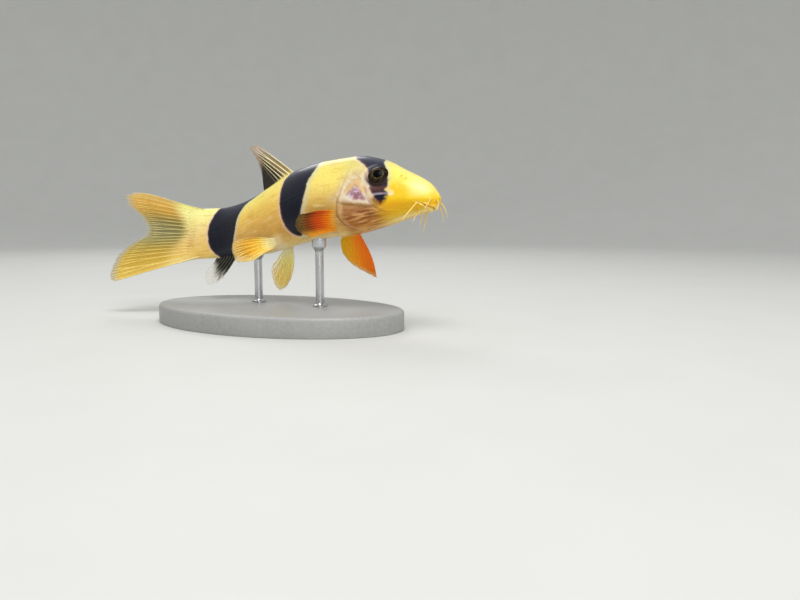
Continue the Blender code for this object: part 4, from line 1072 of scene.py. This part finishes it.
def make_barbels():
    look = barbel_look()
    for name, place, turn, length, radius, way, bend in BARBELS:
        for side, side_name in ((1, "right"), (-1, "left")):
            ahead, above, _ = backbone_axes(np.array(place))
            out = skin_out(place, turn * side)
            direction = unit(out * way[0] - ahead * way[1] - above * way[2])
            root = skin_point(place, turn * side, -0.35 * MM)
            aside = unit(np.cross(direction, above))
            across = np.cross(direction, aside)
            trail = unit(-ahead - above) * bend
            mesh, around, along = grid_mesh("barbel", 20, 36)
            share = np.clip(along, 0.0, 1.0)
            centre = direction * (length + 0.7) * share[:, None] + trail * (share**2)[:, None]
            reach = radius * blend(0.62, 0.24, share) + 0.16 * bell(share, 0.13)
            reach = reach * np.sqrt(np.clip(1 - np.clip((share - 0.94) / 0.06, 0, 1) ** 2, 0, 1))
            reach = reach * (1 + 0.04 * np.sin(share * 60))
            reach = np.where(along <= 0, 0.0, reach)
            angle = around * 2 * math.pi
            ring = aside * (np.cos(angle) * reach)[:, None] + across * (np.sin(angle) * reach)[:, None]
            set_points(mesh, root + (centre + ring) * MM)
            set_attribute(mesh, "along", share)
            finish_mesh(mesh)
            node = f"barbel_{name}_{side_name}"
            piece(node + "_flesh", mesh, look, "barbel", node)


def barbel_look():
    look = Look("barbel_flesh")
    along = look.attribute("along")
    colour = look.ramp(along, (0.00, (240, 192, 48)), (0.35, (244, 202, 82)), (0.70, (242, 208, 124)), (1.00, (240, 214, 168)))
    grain = look.noise(2400.0, 2.0)
    colour = look.mix(look.step(grain, 0.4, 0.7, 0.0, 0.3), colour, rgb(170, 120, 70), "MULTIPLY")
    look.surface(Base_Color=colour, Roughness=look.step(grain, 0.3, 0.7, 0.34, 0.46))
    look.surface(Coat_Weight=0.4, Coat_Roughness=0.12)
    look.surface(Normal=look.bump(grain, 0.00004, 0.4))
    return look.made


def make_stand(skin):
    """A low oval base with a soft edge, and two slim rods whose pads follow the belly."""
    lowest, highest = (np.array(corner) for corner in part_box("stand_base"))
    half = (highest - lowest) / 2
    bm = bmesh.new()
    bmesh.ops.create_circle(bm, cap_ends=True, radius=1, segments=160)
    bmesh.ops.scale(bm, vec=(half[0], half[1], 1), verts=bm.verts)
    grown = bmesh.ops.extrude_face_region(bm, geom=bm.faces[:])["geom"]
    top = [item for item in grown if isinstance(item, bmesh.types.BMVert)]
    bmesh.ops.translate(bm, vec=(0, 0, highest[2] - lowest[2]), verts=top)
    rim = [edge for edge in bm.edges if all(corner in top for corner in edge.verts)]
    bmesh.ops.bevel(bm, geom=rim, offset=0.9 * MM, segments=6, profile=0.5, affect="EDGES", material=-1)
    foot = [edge for edge in bm.edges if all(corner.co.z < 0.1 * MM for corner in edge.verts)]
    bmesh.ops.bevel(bm, geom=foot, offset=0.3 * MM, segments=2, profile=0.5, affect="EDGES", material=-1)
    bmesh.ops.translate(bm, vec=(lowest + highest) * (0.5, 0.5, 0) + (0, 0, lowest[2]), verts=bm.verts)
    stand_piece("stand_base_oval", bm, base_look(), "stand_base", "stand_base")
    bpy.context.view_layer.update()
    metal = rod_look()
    for name in ("stand_rod_front", "stand_rod_rear"):
        make_rod(name, skin, metal)


def make_rod(name, skin, metal):
    lowest, highest = (np.array(corner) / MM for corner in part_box(name))
    middle = (lowest + highest) / 2
    floor, pad = lowest[2] - 0.3, highest[2] - 0.6
    profile = [(0.0, floor), (1.9, floor), (1.9, floor + 0.35), (1.75, floor + 0.5), (1.35, floor + 0.6), (1.1, floor + 0.9)]
    profile += [(1.1, blend(floor + 0.9, pad - 2.8, k / 6)) for k in range(1, 7)]
    profile += [(1.1 + 0.75 * (1 - math.cos(a)) / 2, pad - 2.8 + 1.7 * a / math.pi) for a in np.radians(range(20, 181, 20))]
    profile += [(1.9, pad - 0.9), (1.9, pad), (1.6, pad), (1.2, pad), (0.8, pad), (0.4, pad), (0.0, pad)]
    bm = bmesh.new()
    corners = [bm.verts.new((radius * MM, 0, z * MM)) for radius, z in profile]
    edges = [bm.edges.new(pair) for pair in zip(corners, corners[1:])]
    bmesh.ops.spin(bm, geom=corners + edges, cent=(0, 0, 0), axis=(0, 0, 1), angle=2 * math.pi, steps=48, use_merge=True)
    bmesh.ops.remove_doubles(bm, verts=bm.verts, dist=1e-6)
    bmesh.ops.translate(bm, vec=(middle[0] * MM, middle[1] * MM, 0), verts=bm.verts)
    for corner in bm.verts:
        if corner.co.z > (pad - 0.05) * MM:
            hit, spot, _, _ = skin.ray_cast((corner.co.x, corner.co.y, (pad - 6.0) * MM), (0, 0, 1))
            if hit:
                corner.co.z = spot.z + 0.02 * MM
    stand_piece(name + "_polished", bm, metal, "stand_rod", name)


def stand_piece(name, bm, look, slot, node):
    bmesh.ops.triangulate(bm, faces=bm.faces)
    bmesh.ops.recalc_face_normals(bm, faces=bm.faces)
    if bm.calc_volume(signed=True) < 0:
        bmesh.ops.reverse_faces(bm, faces=bm.faces)
    mesh = bpy.data.meshes.new(name)
    bm.to_mesh(mesh)
    bm.free()
    mesh.set_sharp_from_angle(angle=math.radians(35))
    piece(name, mesh, look, slot, node)


def base_look():
    look = Look("satin_base")
    grain = look.noise(1400.0, 4.0)
    cloud = look.noise(60.0, 3.0)
    colour = look.mix(look.step(grain, 0.3, 0.7), rgb(150, 150, 148), rgb(162, 162, 160))
    colour = look.mix(look.step(cloud, 0.35, 0.7, 0.0, 0.4), colour, rgb(172, 171, 168))
    look.surface(Base_Color=colour, Roughness=look.step(grain, 0.3, 0.7, 0.36, 0.48))
    look.surface(Normal=look.bump(grain, 0.00002, 0.3))
    return look.made


def rod_look():
    look = Look("polished_rod")
    grain = look.noise(400.0, 3.0)
    colour = look.mix(grain, rgb(186, 188, 192), rgb(204, 206, 208))
    look.surface(Base_Color=colour, Metallic=1.0, Roughness=look.step(grain, 0.3, 0.7, 0.20, 0.28))
    return look.made


def make_studio():
    """A pale bowl of floor and wall, with soft lamps above."""
    bm = bmesh.new()
    rim = [(0.0, 0.0), (0.30, 0.0), (0.55, 0.0)]
    rim += [(0.55 + 0.40 * math.sin(a), 0.40 - 0.40 * math.cos(a)) for a in np.radians(np.arange(6, 91, 6))]
    rim += [(0.95, 0.46)]
    corners = [bm.verts.new((x, 0, z)) for x, z in rim]
    edges = [bm.edges.new(pair) for pair in zip(corners, corners[1:])]
    bmesh.ops.spin(bm, geom=corners + edges, cent=(0, 0, 0), axis=(0, 0, 1), angle=2 * math.pi, steps=96, use_merge=True)
    bmesh.ops.remove_doubles(bm, verts=bm.verts, dist=1e-5)
    bmesh.ops.recalc_face_normals(bm, faces=bm.faces)
    mesh = bpy.data.meshes.new("floor")
    bm.to_mesh(mesh)
    bm.free()
    mesh.shade_smooth()
    floor = bpy.data.objects.new("floor", mesh)
    bpy.context.scene.collection.objects.link(floor)
    look = Look("floor_finish")
    grain = look.noise(40.0, 2.0)
    look.surface(Base_Color=look.mix(grain, rgb(204, 204, 199), rgb(210, 210, 206)), Roughness=0.75)
    mesh.materials.append(look.made)
    world = bpy.data.worlds.new("soft_room")
    world.use_nodes = True
    world.node_tree.nodes["Background"].inputs["Color"].default_value = (0.96, 0.98, 1.0, 1.0)
    world.node_tree.nodes["Background"].inputs["Strength"].default_value = 0.62
    bpy.context.scene.world = world
    lamp("key_lamp", (0.10, -0.14, 0.42), (0.0, 0.0, 0.03), 0.24, 1.15)
    lamp("rear_lamp", (-0.24, 0.26, 0.36), (0.0, 0.0, 0.03), 0.22, 0.50)
    lamp("front_lamp", (0.30, -0.34, 0.16), (0.01, 0.0, 0.03), 0.30, 0.55)


def lamp(name, place, target, size, power):
    data = bpy.data.lights.new(name, "AREA")
    data.shape = "DISK"
    data.size = size
    data.energy = power
    made = bpy.data.objects.new(name, data)
    made.location = place
    away = np.array(place) - np.array(target)
    flat = math.hypot(away[0], away[1])
    made.rotation_euler = (math.atan2(flat, away[2]), 0, math.atan2(away[0], -away[1]))
    made.visible_camera = False
    bpy.context.scene.collection.objects.link(made)


def make_camera():
    data = bpy.data.cameras.new("camera")
    data.lens, data.sensor_width = LENS, SENSOR
    data.clip_start, data.clip_end = 0.005, 10.0
    made = bpy.data.objects.new("camera", data)
    made.location = CAMERA_PLACE
    made.rotation_euler = (math.pi / 2 - CAMERA_ELEVATION, 0, CAMERA_AZIMUTH)
    bpy.context.scene.collection.objects.link(made)
    bpy.context.scene.camera = made
    bpy.context.scene.view_settings.view_transform = "Standard"


make_camera()
make_studio()
skin = make_skin()
make_eyes()
make_fins()
make_barbels()
make_stand(skin)
